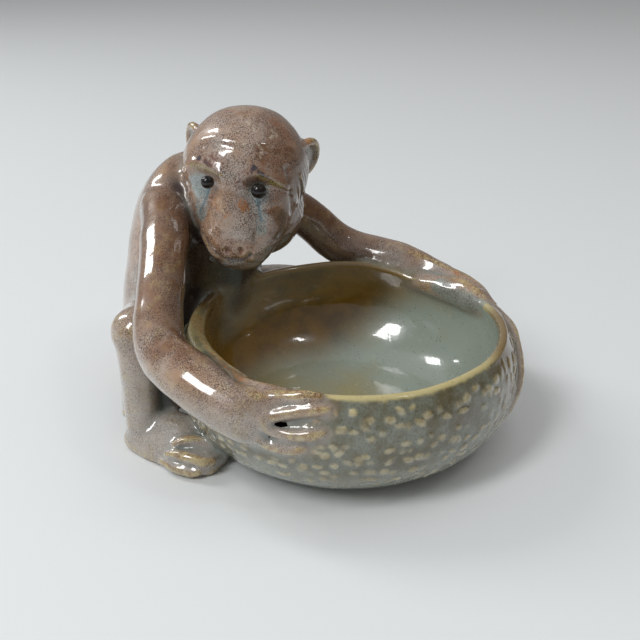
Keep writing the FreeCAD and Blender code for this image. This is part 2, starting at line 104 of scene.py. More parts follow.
level_ahead = Vector((math.sin(CAMERA_TURN), math.cos(CAMERA_TURN), 0))
to_the_right = Vector((math.cos(CAMERA_TURN), -math.sin(CAMERA_TURN), 0))
sight = level_ahead * math.cos(CAMERA_DIP) - Vector((0, 0, math.sin(CAMERA_DIP)))
overhead = to_the_right.cross(sight)
camera_place = to_the_right * CAMERA_ASIDE - level_ahead * CAMERA_BACK + Vector((0, 0, CAMERA_HEIGHT))

lens = bpy.data.cameras.new("camera")
lens.sensor_width = SENSOR_WIDTH
lens.lens = SENSOR_WIDTH * FOCAL_PX / FRAME_PX
camera = put("camera", lens)
camera.location = camera_place * MM
camera.rotation_euler = sight.to_track_quat("-Z", "Y").to_euler()
bpy.context.scene.camera = camera
print("lens", round(lens.lens, 1), "mm, camera at", tuple(round(v) for v in camera_place), "mm")


def ray_through(px, py):
    """The way from the camera through a place in the picture."""
    half = FRAME_PX / 2
    aside, down = (px - half) / FOCAL_PX, (py - half) / FOCAL_PX
    return (sight + to_the_right * aside - overhead * down).normalized()


def seen_on(surface, places):
    """Where a line of picture places falls on a surface."""
    hits = [surface.ray_cast(camera_place, ray_through(px, py))[0] for px, py in places]
    return [hit for hit in hits if hit is not None]


# %% [markdown]
# The floor is plain and pale. Glaze shows its shape by what it reflects, so the light comes as two tall
# soft windows behind and beside the monkey, and a small one in front that puts a spark in the bowl. A wide
# dim ceiling light softens the shadows, and is kept out of the reflections, or it would veil them. The
# room's own glow is brighter and cooler on the window side and dim and warm in front, which keeps the
# chest under the head as dark as it is on the real piece.

# %% Floor
FLOOR_SPAN, FLOOR_ROUGHNESS = 8.0, 0.5
FLOOR_PALE = (226, 230, 231)

floor_mesh = bpy.data.meshes.new("floor")
sheet = bmesh.new()
bmesh.ops.create_grid(sheet, x_segments=2, y_segments=2, size=FLOOR_SPAN)
sheet.to_mesh(floor_mesh)
sheet.free()
floor = put("floor", floor_mesh)
floor_paint = bpy.data.materials.new("floor")
floor_paint.use_nodes = True
paint_socket = floor_paint.node_tree.nodes["Principled BSDF"].inputs
paint_socket["Base Color"].default_value = glaze_colour(*FLOOR_PALE)
paint_socket["Roughness"].default_value = FLOOR_ROUGHNESS
floor_mesh.materials.append(floor_paint)

# %% Room glow
ROOM_GLOW = 0.44
WINDOW_SIDE = (-0.60, 0.72, 0.35)
DIM_GLOW, BRIGHT_GLOW = (150, 138, 126), (250, 252, 255)

room = bpy.data.worlds.new("room")
room.use_nodes = True
glow = room.node_tree.nodes
facing = glow.new("ShaderNodeVectorMath")
facing.operation = "DOT_PRODUCT"
facing.inputs[1].default_value = WINDOW_SIDE
share = glow.new("ShaderNodeMapRange")
share.inputs["From Min"].default_value = -1.0
tint = glow.new("ShaderNodeValToRGB")
tint.color_ramp.elements[0].color = glaze_colour(*DIM_GLOW)
tint.color_ramp.elements[1].color = glaze_colour(*BRIGHT_GLOW)
wires = room.node_tree.links
wires.new(glow.new("ShaderNodeTexCoord").outputs["Generated"], facing.inputs[0])
wires.new(facing.outputs["Value"], share.inputs["Value"])
wires.new(share.outputs["Result"], tint.inputs["Fac"])
wires.new(tint.outputs["Color"], glow["Background"].inputs["Color"])
glow["Background"].inputs["Strength"].default_value = ROOM_GLOW
bpy.context.scene.world = room
bpy.context.scene.view_settings.view_transform = "Standard"


# %% Windows
WINDOW_DISTANCE = 1.6
LIT_PLACE = Vector((0, 0.02, 0.05))


def soft_window(name, bearing, rise, width, height, watts, mirrored=True):
    """A soft rectangular light that faces the bowl, and may be kept out of the glaze's reflections."""
    turn, lift = math.radians(bearing), math.radians(rise)
    light = bpy.data.lights.new(name, "AREA")
    light.shape = "RECTANGLE"
    light.size, light.size_y = width, height
    light.energy = watts
    holder = put(name, light)
    way = Vector((math.cos(turn) * math.cos(lift), math.sin(turn) * math.cos(lift), math.sin(lift)))
    holder.location = LIT_PLACE + way * WINDOW_DISTANCE
    holder.rotation_euler = (LIT_PLACE - holder.location).to_track_quat("-Z", "Y").to_euler()
    holder.visible_glossy = mirrored


soft_window("back_window", 100, 38, 0.24, 0.80, 8.0)
soft_window("side_window", 172, 48, 0.34, 0.80, 11.0)
soft_window("front_spark", -81, 58, 0.12, 0.16, 1.0)
soft_window("ceiling", -50, 68, 1.50, 1.50, 5.5, mirrored=False)
print("lights:", len(bpy.data.lights))

# %% [markdown]
# The bowl's sizes carry everything else: arms, hands, knees and belly all lie against its wall. The wall
# is one arc that is upright at the belly, so its radius at any height is a line of arithmetic.

# %% Sizes of the bowl
RIM_HEIGHT, LIP_RADIUS = 48.0, 2.0
BELLY_RADIUS, BELLY_HEIGHT = 68.5, 30.0
FOOT_RADIUS, FLOOR_THICKNESS, WELL_RADIUS = 42.0, 7.0, 37.0
INNER_CURVE = 0.66

bulge = BELLY_RADIUS - FOOT_RADIUS
wall_curve = (bulge**2 + BELLY_HEIGHT**2) / (2 * bulge)


def wall_radius(height):
    """The bowl's outer radius at a height, held above the lip."""
    height = min(height, RIM_HEIGHT - LIP_RADIUS)
    rise = min(abs(height - BELLY_HEIGHT), wall_curve)
    return BELLY_RADIUS - wall_curve + math.sqrt(wall_curve**2 - rise**2)


def on_wall(bearing, height, stand_off=0.0):
    """A place on the bowl's wall, or off it."""
    angle = math.radians(bearing)
    reach = wall_radius(height) + stand_off
    return Vector((reach * math.cos(angle), reach * math.sin(angle), height))


print("wall radius at the lip:", round(wall_radius(RIM_HEIGHT), 1), "mm")

# %% [markdown]
# The clay is one bmesh. Each lump or roll remembers which part of the monkey it belongs to, so that the
# smoothed whole can be cut back into its parts later. A roll is a disc that is pushed out from station to
# station, and each station may have its own width and thickness.

# %% Lumps and rolls of clay
PARTS = [
    "bowl", "torso", "head", "right_ear", "left_ear", "right_arm", "left_arm", "right_hand", "left_hand",
    "right_leg", "left_leg", "right_foot", "left_foot",
]
LUMP_SIDES, LUMP_RINGS = 40, 24

clay = bmesh.new()
part_layer = clay.verts.layers.int.new("part")
crisp_layer = clay.verts.layers.int.new("crisp")


def belongs(verts, part, crisp=False):
    """Tell a lump or roll its part, and whether its grooves must stay crisp."""
    for vert in verts:
        vert[part_layer] = PARTS.index(part)
        vert[crisp_layer] = crisp


def between(rows, steps=7):
    """Rows of numbers with smooth rows put between them."""
    rows = np.array([list(row) for row in rows], float)
    ends = np.vstack([2 * rows[0] - rows[1], rows, 2 * rows[-1] - rows[-2]])
    filled = []
    for a, b, c, d in zip(ends, ends[1:], ends[2:], ends[3:]):
        for t in np.linspace(0, 1, steps, endpoint=False):
            bend = (c - a) * t + (2 * a - 5 * b + 4 * c - d) * t**2 + (3 * b - a - 3 * c + d) * t**3
            filled.append(b + 0.5 * bend)
    return np.array(filled + [rows[-1]])


def lump(part, centre, radii, turn=None, crisp=False):
    """A ball of clay, pressed to three radii."""
    shape = Matrix.Translation(centre) @ (turn or Matrix.Identity(4)) @ Matrix.Diagonal((*radii, 1))
    made = bmesh.ops.create_uvsphere(clay, u_segments=LUMP_SIDES, v_segments=LUMP_RINGS, radius=1,
                                     matrix=shape)
    belongs(made["verts"], part, crisp)


def roll(part, stations, side=Vector((0, 0, 1)), sides=28, crisp=False):
    """A roll of clay through stations of place, width and thickness; side is the width's way."""
    rows = between([(*place, width, thickness) for place, width, thickness in stations])
    face, last_shape = None, None
    for n, row in enumerate(rows):
        ahead, behind = rows[min(n + 1, len(rows) - 1)], rows[max(n - 1, 0)]
        way = Vector(ahead[:3] - behind[:3]).normalized()
        across = (side - way * side.dot(way)).normalized()
        axes = Matrix((across, way.cross(across), way)).transposed().to_4x4()
        shape = Matrix.Translation(row[:3]) @ axes @ Matrix.Diagonal((row[3], row[4], 1, 1))
        if face is None:
            made = bmesh.ops.create_circle(clay, cap_ends=True, segments=sides, radius=1, matrix=shape)
            belongs(made["verts"], part, crisp)
            face = made["verts"][0].link_faces[0]
        else:
            pushed = bmesh.ops.extrude_face_region(clay, geom=[face, *face.edges])["geom"]
            verts = [item for item in pushed if isinstance(item, bmesh.types.BMVert)]
            face = next(item for item in pushed if isinstance(item, bmesh.types.BMFace))
            bmesh.ops.transform(clay, matrix=shape @ last_shape.inverted(), verts=verts)
            belongs(verts, part, crisp)
        last_shape = shape


def surface_of(*parts):
    """The surface of some parts of the clay, ready for rays."""
    some = clay.copy()
    layer = some.verts.layers.int["part"]
    others = [vert for vert in some.verts if PARTS[vert[layer]] not in parts]
    bmesh.ops.delete(some, geom=others, context="VERTS")
    tree = BVHTree.FromBMesh(some)
    some.free()
    return tree


# %% [markdown]
# The bowl is thrown on a wheel, so here it is spun: half of its outline, from the middle of the foot up
# the wall, over the lip and down the inside, goes once round the axis.

# %% Throw the bowl
WALL_STEPS, LIP_STEPS, WHEEL_STEPS = 22, 8, 200


def arc_points(centre, radius, start, end, steps):
    """Points along an arc in the plane of the outline, angles in radians."""
    turns = np.linspace(start, end, steps)
    return [(centre[0] + radius * math.cos(t), centre[1] + radius * math.sin(t)) for t in turns]


lip_height = RIM_HEIGHT - LIP_RADIUS
wall_middle = (BELLY_RADIUS - wall_curve, BELLY_HEIGHT)
wall_start = math.atan2(-BELLY_HEIGHT, FOOT_RADIUS - wall_middle[0])
wall_end = math.asin((lip_height - BELLY_HEIGHT) / wall_curve)
lip_middle = (wall_radius(lip_height) - LIP_RADIUS, lip_height)
inner_top = np.array((lip_middle[0] - LIP_RADIUS, lip_height))
well_edge = np.array((WELL_RADIUS, FLOOR_THICKNESS))
chord = inner_top - well_edge
chord_length = np.linalg.norm(chord)
inner_radius = chord_length * INNER_CURVE
inward = np.array((-chord[1], chord[0])) / chord_length
inner_middle = well_edge + chord / 2 + inward * math.sqrt(inner_radius**2 - (chord_length / 2) ** 2)
inner_start, inner_end = (math.atan2(*(p - inner_middle)[::-1]) for p in (inner_top, well_edge))

outline = [(0, 0), (FOOT_RADIUS / 2, 0)]
outline += arc_points(wall_middle, wall_curve, wall_start, wall_end, WALL_STEPS)
outline += arc_points(lip_middle, LIP_RADIUS, wall_end, math.pi, LIP_STEPS)
outline += arc_points(inner_middle, inner_radius, inner_start, inner_end, WALL_STEPS)
outline += [(WELL_RADIUS / 2, FLOOR_THICKNESS), (0, FLOOR_THICKNESS)]

half = [clay.verts.new((radius, 0, height)) for radius, height in outline]
edges = [clay.edges.new(pair) for pair in zip(half, half[1:])]
bmesh.ops.spin(clay, geom=half + edges, axis=(0, 0, 1), cent=(0, 0, 0), steps=WHEEL_STEPS,
               angle=2 * math.pi, use_merge=True)
bmesh.ops.remove_doubles(clay, verts=clay.verts[:], dist=1e-4)
belongs(clay.verts, "bowl")
print("bowl outline:", len(outline), "points,", len(clay.verts), "places on the wheel")

# %% [markdown]
# The torso is a hollow form that leans forward over the bowl, broad at the seat and rounded off at the
# shoulders. It is laid down as one standing roll of flattened rings, with a yoke of clay across the
# shoulders and a short thick neck.

# %% Torso
TORSO_HEIGHT, TORSO_HALF_WIDTH, TORSO_HALF_DEPTH = 100.0, 34.0, 28.0
TORSO_LEAN, TORSO_PRESS = 15.0, 6.0
SHOULDER_SPREAD, SHOULDER_HEIGHT, SHOULDER_LEAN = 21.0, 84.0, 0.80
TORSO_ROWS = (
    (0.005, 0.88, 0.86, 0.00), (0.14, 0.98, 0.96, 0.00), (0.32, 1.00, 1.00, 0.07), (0.55, 0.97, 0.97, 0.40),
    (0.75, 0.91, 0.89, 0.60), (0.90, 0.79, 0.71, 0.87), (0.97, 0.52, 0.48, 1.07), (0.995, 0.24, 0.25, 1.13),
)
seat = Vector((0, BELLY_RADIUS + TORSO_HALF_DEPTH - TORSO_PRESS, 0))


def leaning(height, share):
    """A place up the torso's middle, which leans forward by a share of the whole lean."""
    return seat + Vector((0, -TORSO_LEAN * share, height))


stations = [
    (leaning(TORSO_HEIGHT * rise, lean), TORSO_HALF_WIDTH * width, TORSO_HALF_DEPTH * depth)
    for rise, width, depth, lean in TORSO_ROWS
]
roll("torso", stations, side=Vector((1, 0, 0)), sides=64)
shoulders = {
    name: leaning(SHOULDER_HEIGHT, SHOULDER_LEAN) + Vector((side * SHOULDER_SPREAD, 0, 0))
    for name, side in (("right", -1), ("left", 1))
}
yoke_middle = leaning(SHOULDER_HEIGHT + 3, 0.72)
roll("torso", [(shoulders["right"], 11.5, 11), (yoke_middle, 15, 14), (shoulders["left"], 11.5, 11)])
print("torso rings:", len(stations))

# %% [markdown]
# The head is turned far to the monkey's right and bent down. Its own left, back and up are turned
# together, so every lump of the face can be given in the head's own measure.

# %% Head
HEAD_REACH, HEAD_HEIGHT = 38.0, 100.5
HEAD_TURN, HEAD_NOD, HEAD_TILT = math.radians(58), math.radians(17), math.radians(7)
MUZZLE_REACH, MUZZLE_DROOP, MUZZLE_OFFSET = 40.5, math.radians(41), 2.6
HEAD_LUMPS = (((-0.3, 2.5, -0.4), (26.0, 25.8, 24.8)), ((4.4, -3.75, -16.0), (21.0, 20.0, 20.0)))
CHIN_REACH, CHIN_DROP, CHIN_RADII = 0.80, -0.5, (12.2, 8.4, 9.0)
MUZZLE_ROWS = (
    (0.30, 23.0, 19.4), (0.45, 20.4, 16.5), (0.60, 17.6, 14.0), (0.74, 15.2, 12.2), (0.86, 12.6, 10.6),
    (0.95, 9.4, 8.2),
)

head_centre = seat + Vector((0, -HEAD_REACH, HEAD_HEIGHT))
head_turn = Matrix.Rotation(-HEAD_TURN, 4, "Z") @ Matrix.Rotation(HEAD_NOD, 4, "X")
head_turn = head_turn @ Matrix.Rotation(HEAD_TILT, 4, "Y")


def on_head(left, back, up):
    """A place given along the head's own left, back and up."""
    return head_centre + head_turn @ Vector((left, back, up))


muzzle_tip = on_head(
    MUZZLE_OFFSET, -MUZZLE_REACH * math.cos(MUZZLE_DROOP), -MUZZLE_REACH * math.sin(MUZZLE_DROOP)
)
muzzle_way = (muzzle_tip - head_centre).normalized()
face_left = head_turn @ Vector((1, 0, 0))
for middle, radii in HEAD_LUMPS:
    lump("head", on_head(*middle), radii, head_turn)
roll("head", [(head_centre + muzzle_way * MUZZLE_REACH * reach, width, thickness)
              for reach, width, thickness in MUZZLE_ROWS], side=face_left)
chin = head_centre + muzzle_way * MUZZLE_REACH * CHIN_REACH + head_turn @ Vector((0, 0, CHIN_DROP))
lump("head", chin, CHIN_RADII, head_turn)
neck = [(leaning(SHOULDER_HEIGHT, SHOULDER_LEAN), 17, 15), (head_centre + Vector((0, 8, -8)), 15, 15)]
roll("torso", neck, side=Vector((1, 0, 0)))
print("head centre:", tuple(round(v, 1) for v in head_centre))

# %% Ears
EAR_RADIUS, EAR_RIM, EAR_WEB, EAR_STRETCH = 8.3, 1.8, 0.9, 1.14
EAR_FLARE = math.radians(55)
EAR_SEAT = (21.0, 9.0, 1.6)
EAR_STEPS = 14


def ear(part, side):
    """A pinched disc of clay with a rolled rim."""
    turn = head_turn @ Matrix.Rotation(side * EAR_FLARE, 4, "Z") @ Matrix.Rotation(math.pi / 2, 4, "X")
    centre = on_head(side * EAR_SEAT[0], EAR_SEAT[1], EAR_SEAT[2])
    centre = centre + turn.to_3x3() @ Vector((side * EAR_RADIUS / 2, 0, 0))
    ring = EAR_RADIUS - EAR_RIM
    around = [turn.to_3x3() @ Vector((ring * math.cos(t), ring * EAR_STRETCH * math.sin(t), 0))
              for t in np.linspace(0, 2 * math.pi, EAR_STEPS)]
    flat = turn.to_3x3() @ Vector((0, 0, 1))
    roll(part, [(centre + step, EAR_RIM, EAR_RIM) for step in around], side=flat, sides=14, crisp=True)
    lump(part, centre - flat * 0.5, (ring, ring * EAR_STRETCH, EAR_WEB), turn, crisp=True)


ear("right_ear", -1)
ear("left_ear", 1)

# %% [markdown]
# Each arm is one long roll that comes off the shoulder, bends at the elbow, lies along the wall of the
# bowl and flattens into the hand. The forearm is half sunk in the wall, as clay pressed against clay is.

# %% Arms
ARMS = {
    "right": {"elbow": (152.0, 52.0), "wrist": (184.0, 38.5), "off": (12.7, 8.5, 3.4)},
    "left": {"elbow": (38.0, 51.0), "wrist": (-6.0, 39.5), "off": (12.3, 7.4, 3.2)},
}
ARM_BOW = 6.6
WEB_STEPS, WEB_SIZES = (0.4, 1.4, 2.4, 3.4, 4.4), (2.4, 4.0, 4.4, 3.8, 2.2)
WEB_HEIGHT, WEB_OFF = 44.6, 1.6
THICK_RIM = (
    (104, -2.6, 1.6), (122, -4.0, 3.0), (142, -4.9, 3.7), (164, -4.9, 3.7), (182, -4.0, 3.0),
    (198, -2.6, 1.6),
)
THICK_RIM_HEIGHT = 44.5


def arm(name):
    """Shoulder, upper arm, elbow, forearm and wrist as one roll, and a web of clay from it to the rim."""
    shoulder = shoulders[name]
    (elbow_bearing, elbow_height), (wrist_bearing, wrist_height) = ARMS[name]["elbow"], ARMS[name]["wrist"]
    elbow_off, forearm_off, wrist_off = ARMS[name]["off"]
    spread = (wrist_bearing - elbow_bearing) / 4
    elbow = on_wall(elbow_bearing, elbow_height, elbow_off)
    outward = Vector((elbow.x - shoulder.x, elbow.y - shoulder.y, 0)).normalized()
    middle = (shoulder + elbow) / 2 + outward * ARM_BOW
    half_bearing, half_height = (elbow_bearing + wrist_bearing) / 2, (elbow_height + wrist_height) / 2
    forearm = on_wall(half_bearing, half_height, forearm_off)
    wrist = on_wall(wrist_bearing, wrist_height, wrist_off)
    roll(f"{name}_arm", [
        (shoulder, 11.0, 10.4), (shoulder.lerp(middle, 0.5) + outward * 1.5, 10.2, 9.8), (middle, 9.3, 9.2),
        (elbow, 9.7, 9.5), (forearm, 10.2, 9.8), (wrist, 9.6, 7.4),
        (on_wall(wrist_bearing + spread, wrist_height - 1, wrist_off - 3.4), 8.8, 3.0),
    ])
    lump(f"{name}_arm", shoulder, (11.0, 10.6, 10.6))
    web = [elbow_bearing + spread * step for step in WEB_STEPS]
    roll("bowl", [(on_wall(bearing, WEB_HEIGHT, WEB_OFF), size, size)
                  for bearing, size in zip(web, WEB_SIZES)])
    return forearm.lerp(wrist, 0.6)


wrists = {name: arm(name) for name in ARMS}
roll("bowl", [(on_wall(bearing, THICK_RIM_HEIGHT, off), size, size) for bearing, off, size in THICK_RIM])
print("wrists:", {name: tuple(round(v) for v in place) for name, place in wrists.items()})

# %% [markdown]
# The right hand is in full view. Its fingers are thin rolls laid on the bowl, each along a line that is
# read from the picture and dropped on the clay, and one more ridge runs along the rim. The left hand is
# laid over the rim, and its long fingers run down the far side, so they are given by bearing and height.

# %% Right hand
FINGER_RADIUS = 2.1
FINGER_TAPER = (0.75, 0.95, 1.0, 1.05, 1.05, 1.0, 0.72)
FINGER_OFFS = (-0.6, 0.3, 0.8, 0.9, 0.9, 0.8, 0.4)
RIGHT_FINGER_LINES = (
    ((248, 391), (256, 393), (264, 395), (277, 396), (291, 396), (306, 396), (319, 397)),
    ((262, 413), (268, 416), (276, 415), (288, 413), (302, 411), (318, 410), (328, 410)),
    ((258, 416), (264, 422), (272, 429), (285, 433), (298, 434), (312, 434), (323, 433)),
    ((256, 437), (264, 441), (272, 444), (281, 446), (290, 448), (299, 448), (305, 448)),
)
RIM_RIDGE = ((176, 1.0), (183, 1.5), (190, 1.7), (197, 1.5), (205, 0.9))
RIM_RIDGE_HEIGHT, RIM_RIDGE_OFF = 46.9, -1.8
PALM_START = (8.8, 7.2)
RIGHT_PALM = (
    ((184, 38.4, 3.2), 9.6, 6.3), ((188, 37.6, 1.6), 10.2, 4.2), ((193, 37.0, -0.7), 9.6, 2.4),
    ((199, 36.8, -2.2), 8.0, 1.0),
)


def palm(name, rows):
    """A palm that comes out of the wrist and flattens on the bowl."""
    stations = [(wrists[name], *PALM_START)] + [(on_wall(*seat), width, thick) for seat, width, thick in rows]
    roll(f"{name}_hand", stations)


def finger(part, path):
    """A thin roll along the clay, rounded off at its tip."""
    offs, sizes = FINGER_OFFS[-len(path):], [FINGER_RADIUS * t for t in FINGER_TAPER[-len(path):]]
    raised = [place + Vector((place.x, place.y, 0)).normalized() * off for place, off in zip(path, offs)]
    roll(part, [(place, size * 1.1, size) for place, size in zip(raised, sizes)], sides=16, crisp=True)
    lump(part, raised[-1], (sizes[-1],) * 3, crisp=True)


palm("right", RIGHT_PALM)
carrying = surface_of("bowl", "right_arm", "right_hand")
for line in RIGHT_FINGER_LINES:
    finger("right_hand", seen_on(carrying, line))
ridge = [(on_wall(bearing, RIM_RIDGE_HEIGHT, RIM_RIDGE_OFF), size, size) for bearing, size in RIM_RIDGE]
roll("right_hand", ridge, sides=16)

# %% Left hand
LEFT_FINGERS = (
    ((-34, 45), (-48, 43), (-60, 37), (-69, 29), (-75, 22)),
    ((-33, 40), (-47, 37), (-58, 30), (-66, 22), (-71, 15)),
    ((-32, 34), (-44, 31), (-54, 24), (-61, 16)),
    ((-31, 28), (-42, 24), (-50, 17), (-55, 11)),
)
LEFT_PALM = (((-9, 39.6, 3.2), 9.8, 6.4), ((-20, 38.2, 1.2), 10.6, 4.2), ((-33, 36, -0.9), 10.5, 2.3))
OVER_RIM = (
    ((10, 44, -0.5), 3.5, 2.6), ((-1, 45.2, -1.0), 5.0, 4.6), ((-13, 46.0, -1.4), 5.9, 6.0),
    ((-24, 45.8, -1.2), 5.4, 5.6), ((-33, 44.2, -0.8), 3.6, 3.2),
)
for line in LEFT_FINGERS:
    finger("left_hand", [on_wall(bearing, height) for bearing, height in line])
palm("left", LEFT_PALM)
over_rim = [(on_wall(*seat), width, thick) for seat, width, thick in OVER_RIM]
roll("left_hand", over_rim, side=Vector((1, -0.2, 0)))
print("fingers laid:", len(RIGHT_FINGER_LINES) + len(LEFT_FINGERS))

# %% [markdown]
# The monkey squats, so each leg goes out from the hip to the knee and folds back down to the foot. The
# right knee is high beside the bowl. The far one lies low, because nothing of it shows under the far arm.

# %% Legs
HIP_SPREAD, HIP_HEIGHT = 18.7, 26.0
KNEE_BEARING, KNEE_REACH = 48.0, 83.5
KNEE_HEIGHTS = {"right": 45.0, "left": 27.0}
ANKLE_FLARE, ANKLE_ADVANCE, ANKLE_HEIGHT = 8.0, 8.0, 10.0


def leg(name, side):
    """Thigh, knee and shin, with the calf folded against the thigh."""
    hip = leaning(HIP_HEIGHT, 0) + Vector((side * HIP_SPREAD, 0, 0))
    across = KNEE_REACH * math.cos(math.radians(KNEE_BEARING))
    ahead = KNEE_REACH * math.sin(math.radians(KNEE_BEARING))
    knee = Vector((side * across, ahead, KNEE_HEIGHTS[name]))
    ankle = Vector((side * (across + ANKLE_FLARE), ahead - ANKLE_ADVANCE, ANKLE_HEIGHT))
    part = f"{name}_leg"
    thigh = (hip + knee) / 2 + Vector((side * 1.5, 0, 1))
    roll(part, [(hip, 13.5, 13), (thigh, 13, 12.6), (knee, 10.4, 10.4)])
    lump(part, knee, (10.6, 10.6, 10.8))
    shin = (knee + ankle) / 2
    roll(part, [(knee, 9.6, 9.6), (shin, 7.6, 8.2), (ankle, 6.6, 6.8)], side=Vector((side, 0, 0)))
    lump(part, ankle, (6.8, 7.2, 7.0))
    inner = Vector((-side * 11, -1.5, 0))
    roll(part, [(knee + inner * 0.8 - Vector((0, 0, 4)), 7, 7), (shin + inner * 1.25, 7, 8),
                (ankle + inner * 1.2 + Vector((0, 0, 2)), 6.5, 7)])
    calf = hip.lerp(knee, 0.62) - Vector((0, 0, 6))
    heel = Vector((ankle.x - side * 5, ankle.y + 8, 7.5))
    roll(part, [(calf, 10, 10), ((calf + heel) / 2 + Vector((0, 1, 0)), 8.6, 9), (heel, 7, 7)])
    return ankle


ankles = {"right": leg("right", -1), "left": leg("left", 1)}
print("ankles:", {name: tuple(round(v) for v in place) for name, place in ankles.items()})

# %% [markdown]
# A foot is a wedge of clay, high at the instep and low at its outer edge. Its toes are long ridges that
# start on the instep. The right foot's ridges are read from the picture and dropped on the wedge, and
# the left foot, which is hidden, gets the same ones mirrored.

# %% Feet
FOOT_LENGTH, FOOT_TOE_IN = 42.0, math.radians(9)
FOOT_ROWS = (
    (0.0, 5.6, 5.4), (0.14, 8.2, 7.6), (0.42, 10.2, 9.2),
    (0.72, 10.6, 8.4), (0.95, 9.0, 5.8), (1.04, 6.2, 3.8),
)
HEEL_HEIGHT, HEEL_BACK = 3.0, 6.5
INSTEP_REACH, INSTEP_INWARD, INSTEP_RISE, INSTEP_RADII = 0.47, 3.5, 4.0, (9.5, 15.5, 8.2)
TOE_RADIUS, TOE_OFF = 2.25, 1.25
TOE_WAY = Vector((-0.6, -0.3, 0.75))
TOE_TAPER = (0.45, 0.8, 1.0, 1.0, 0.95, 0.7)
TOE_LINES = (
    ((172, 447), (180, 443), (190, 441), (200, 442), (211, 446), (220, 449)),
    ((165, 455), (174, 455), (184, 457), (194, 460), (204, 463), (213, 462)),
    ((160, 461), (168, 464), (177, 468), (186, 471), (193, 473), (199, 473)),
)


def sole(name, side):
    """The wedge of a foot, from heel to toes."""
    part = f"{name}_foot"
    ankle = ankles[name]
    forward = Vector((-side * math.sin(FOOT_TOE_IN), -math.cos(FOOT_TOE_IN), 0))
    outward = Vector((-forward.y, forward.x, 0)) * side
    heel = Vector((ankle.x, ankle.y, HEEL_HEIGHT)) - forward * HEEL_BACK
    roll(part, [(heel + forward * FOOT_LENGTH * run, width, height) for run, width, height in FOOT_ROWS],
         side=outward)
    instep = heel + forward * FOOT_LENGTH * INSTEP_REACH - outward * INSTEP_INWARD
    instep += Vector((0, 0, INSTEP_RISE))
    lump(part, instep, INSTEP_RADII, Matrix.Rotation(math.atan2(-forward.x, forward.y), 4, "Z"))


sole("right", -1)
sole("left", 1)
carrying = surface_of("right_foot")
for line in TOE_LINES:
    toe = [place + TOE_WAY * TOE_OFF for place in seen_on(carrying, line)]
    for part, side in (("right_foot", 1), ("left_foot", -1)):
        path = [Vector((place.x * side, place.y, place.z)) for place in toe]
        sizes = [TOE_RADIUS * t for t in TOE_TAPER[-len(path):]]
        roll(part, [(place, size, size) for place, size in zip(path, sizes)], sides=16, crisp=True)
        lump(part, path[-1], (sizes[-1],) * 3, crisp=True)
print("clay laid down:", len(clay.verts), "places")

# %% Level the underside
UNDERSIDE = 0.02

whole = clay.verts[:] + clay.edges[:] + clay.faces[:]
bmesh.ops.bisect_plane(clay, geom=whole, dist=1e-4, plane_co=(0, 0, UNDERSIDE), plane_no=(0, 0, 1),
                       clear_inner=True)
bmesh.ops.holes_fill(clay, edges=[edge for edge in clay.edges if edge.is_boundary], sides=0)
print("places above the table:", len(clay.verts))

# %% [markdown]
# Now the rolls become one skin. A voxel remesh melts everything that overlaps into a single closed
# surface of even squares. It is fine enough for the fingers, and coarse enough to stay quick.

# %% Melt the rolls together
VOXEL = 0.66

rolls = bpy.data.meshes.new("rolls")
clay.to_mesh(rolls)
marks = KDTree(len(clay.verts))
for vert in clay.verts:
    marks.insert(vert.co, vert.index)
marks.balance()
mark_parts = np.array([vert[part_layer] for vert in clay.verts])
mark_crisp = np.array([vert[crisp_layer] for vert in clay.verts])
clay.free()
lumps = put("rolls", rolls)
melt = lumps.modifiers.new("melt", "REMESH")
melt.mode = "VOXEL"
melt.voxel_size = VOXEL
skin = bpy.data.meshes.new_from_object(lumps.evaluated_get(bpy.context.evaluated_depsgraph_get()))
bpy.data.objects.remove(lumps)
print("skin:", len(skin.vertices), "places,", len(skin.polygons), "faces")

# %% [markdown]
# The face needs finer clay than the back. The faces near the head are divided once more. Then the whole
# is taken into arrays, because smoothing a few hundred thousand places one by one would be slow.

# %% Finer clay on the face
FACE_REACH = 31.0

fine = bmesh.new()
fine.from_mesh(skin)
front = on_head(2, -14, -8)
edges = [e for e in fine.edges if all((vert.co - front).length < FACE_REACH for vert in e.verts)]
bmesh.ops.subdivide_edges(fine, edges=edges, cuts=1, use_grid_fill=True)
fine.to_mesh(skin)
fine.free()


def read(mesh, what, name, width):
    """One value of every item in a mesh, as an array."""
    values = np.empty(len(what) * width, dtype=float)
    what.foreach_get(name, values)
    return values.reshape(-1, width) if width > 1 else values


places = read(skin, skin.vertices, "co", 3)
pairs = np.empty(len(skin.edges) * 2, dtype=int)
skin.edges.foreach_get("vertices", pairs)
pairs = pairs.reshape(-1, 2)
friends = np.bincount(pairs.ravel(), minlength=len(places)).astype(float)
nearest = np.array([marks.find(place)[1] for place in places])
labels = mark_parts[nearest]
crisp = mark_crisp[nearest].astype(float)
print("finer skin:", len(places), "places")


def neighbour_mean(values):
    """For each place, the mean of its neighbours' values."""
    total = np.empty_like(values)
    for column in range(values.shape[1]):
        ahead = np.bincount(pairs[:, 0], values[pairs[:, 1], column], len(values))
        back = np.bincount(pairs[:, 1], values[pairs[:, 0], column], len(values))
        total[:, column] = ahead + back
    return total / friends[:, None]


def outward_ways():
    """The skin's outward directions, as it now is."""
    skin.vertices.foreach_set("co", places.ravel())
    skin.update()
    ways = np.empty(len(places) * 3)
    skin.vertex_normals.foreach_get("vector", ways)
    return ways.reshape(-1, 3)


# %% [markdown]
# A wet finger fills the joints but leaves the ridges alone. So each pass moves a place towards the mean
# of its neighbours only where the skin is hollow. Fingers and toes get few passes, or their grooves
# would fill up. A last light pass over everything takes off the marks of the voxels.

# %% Smooth the joints
JOINT_PASSES, JOINT_PACE, LAST_PASSES = 70, 0.5, 4
CRISP_BLUR, CRISP_FILL = 5, 0.08
FULL_HOLLOW = 0.004

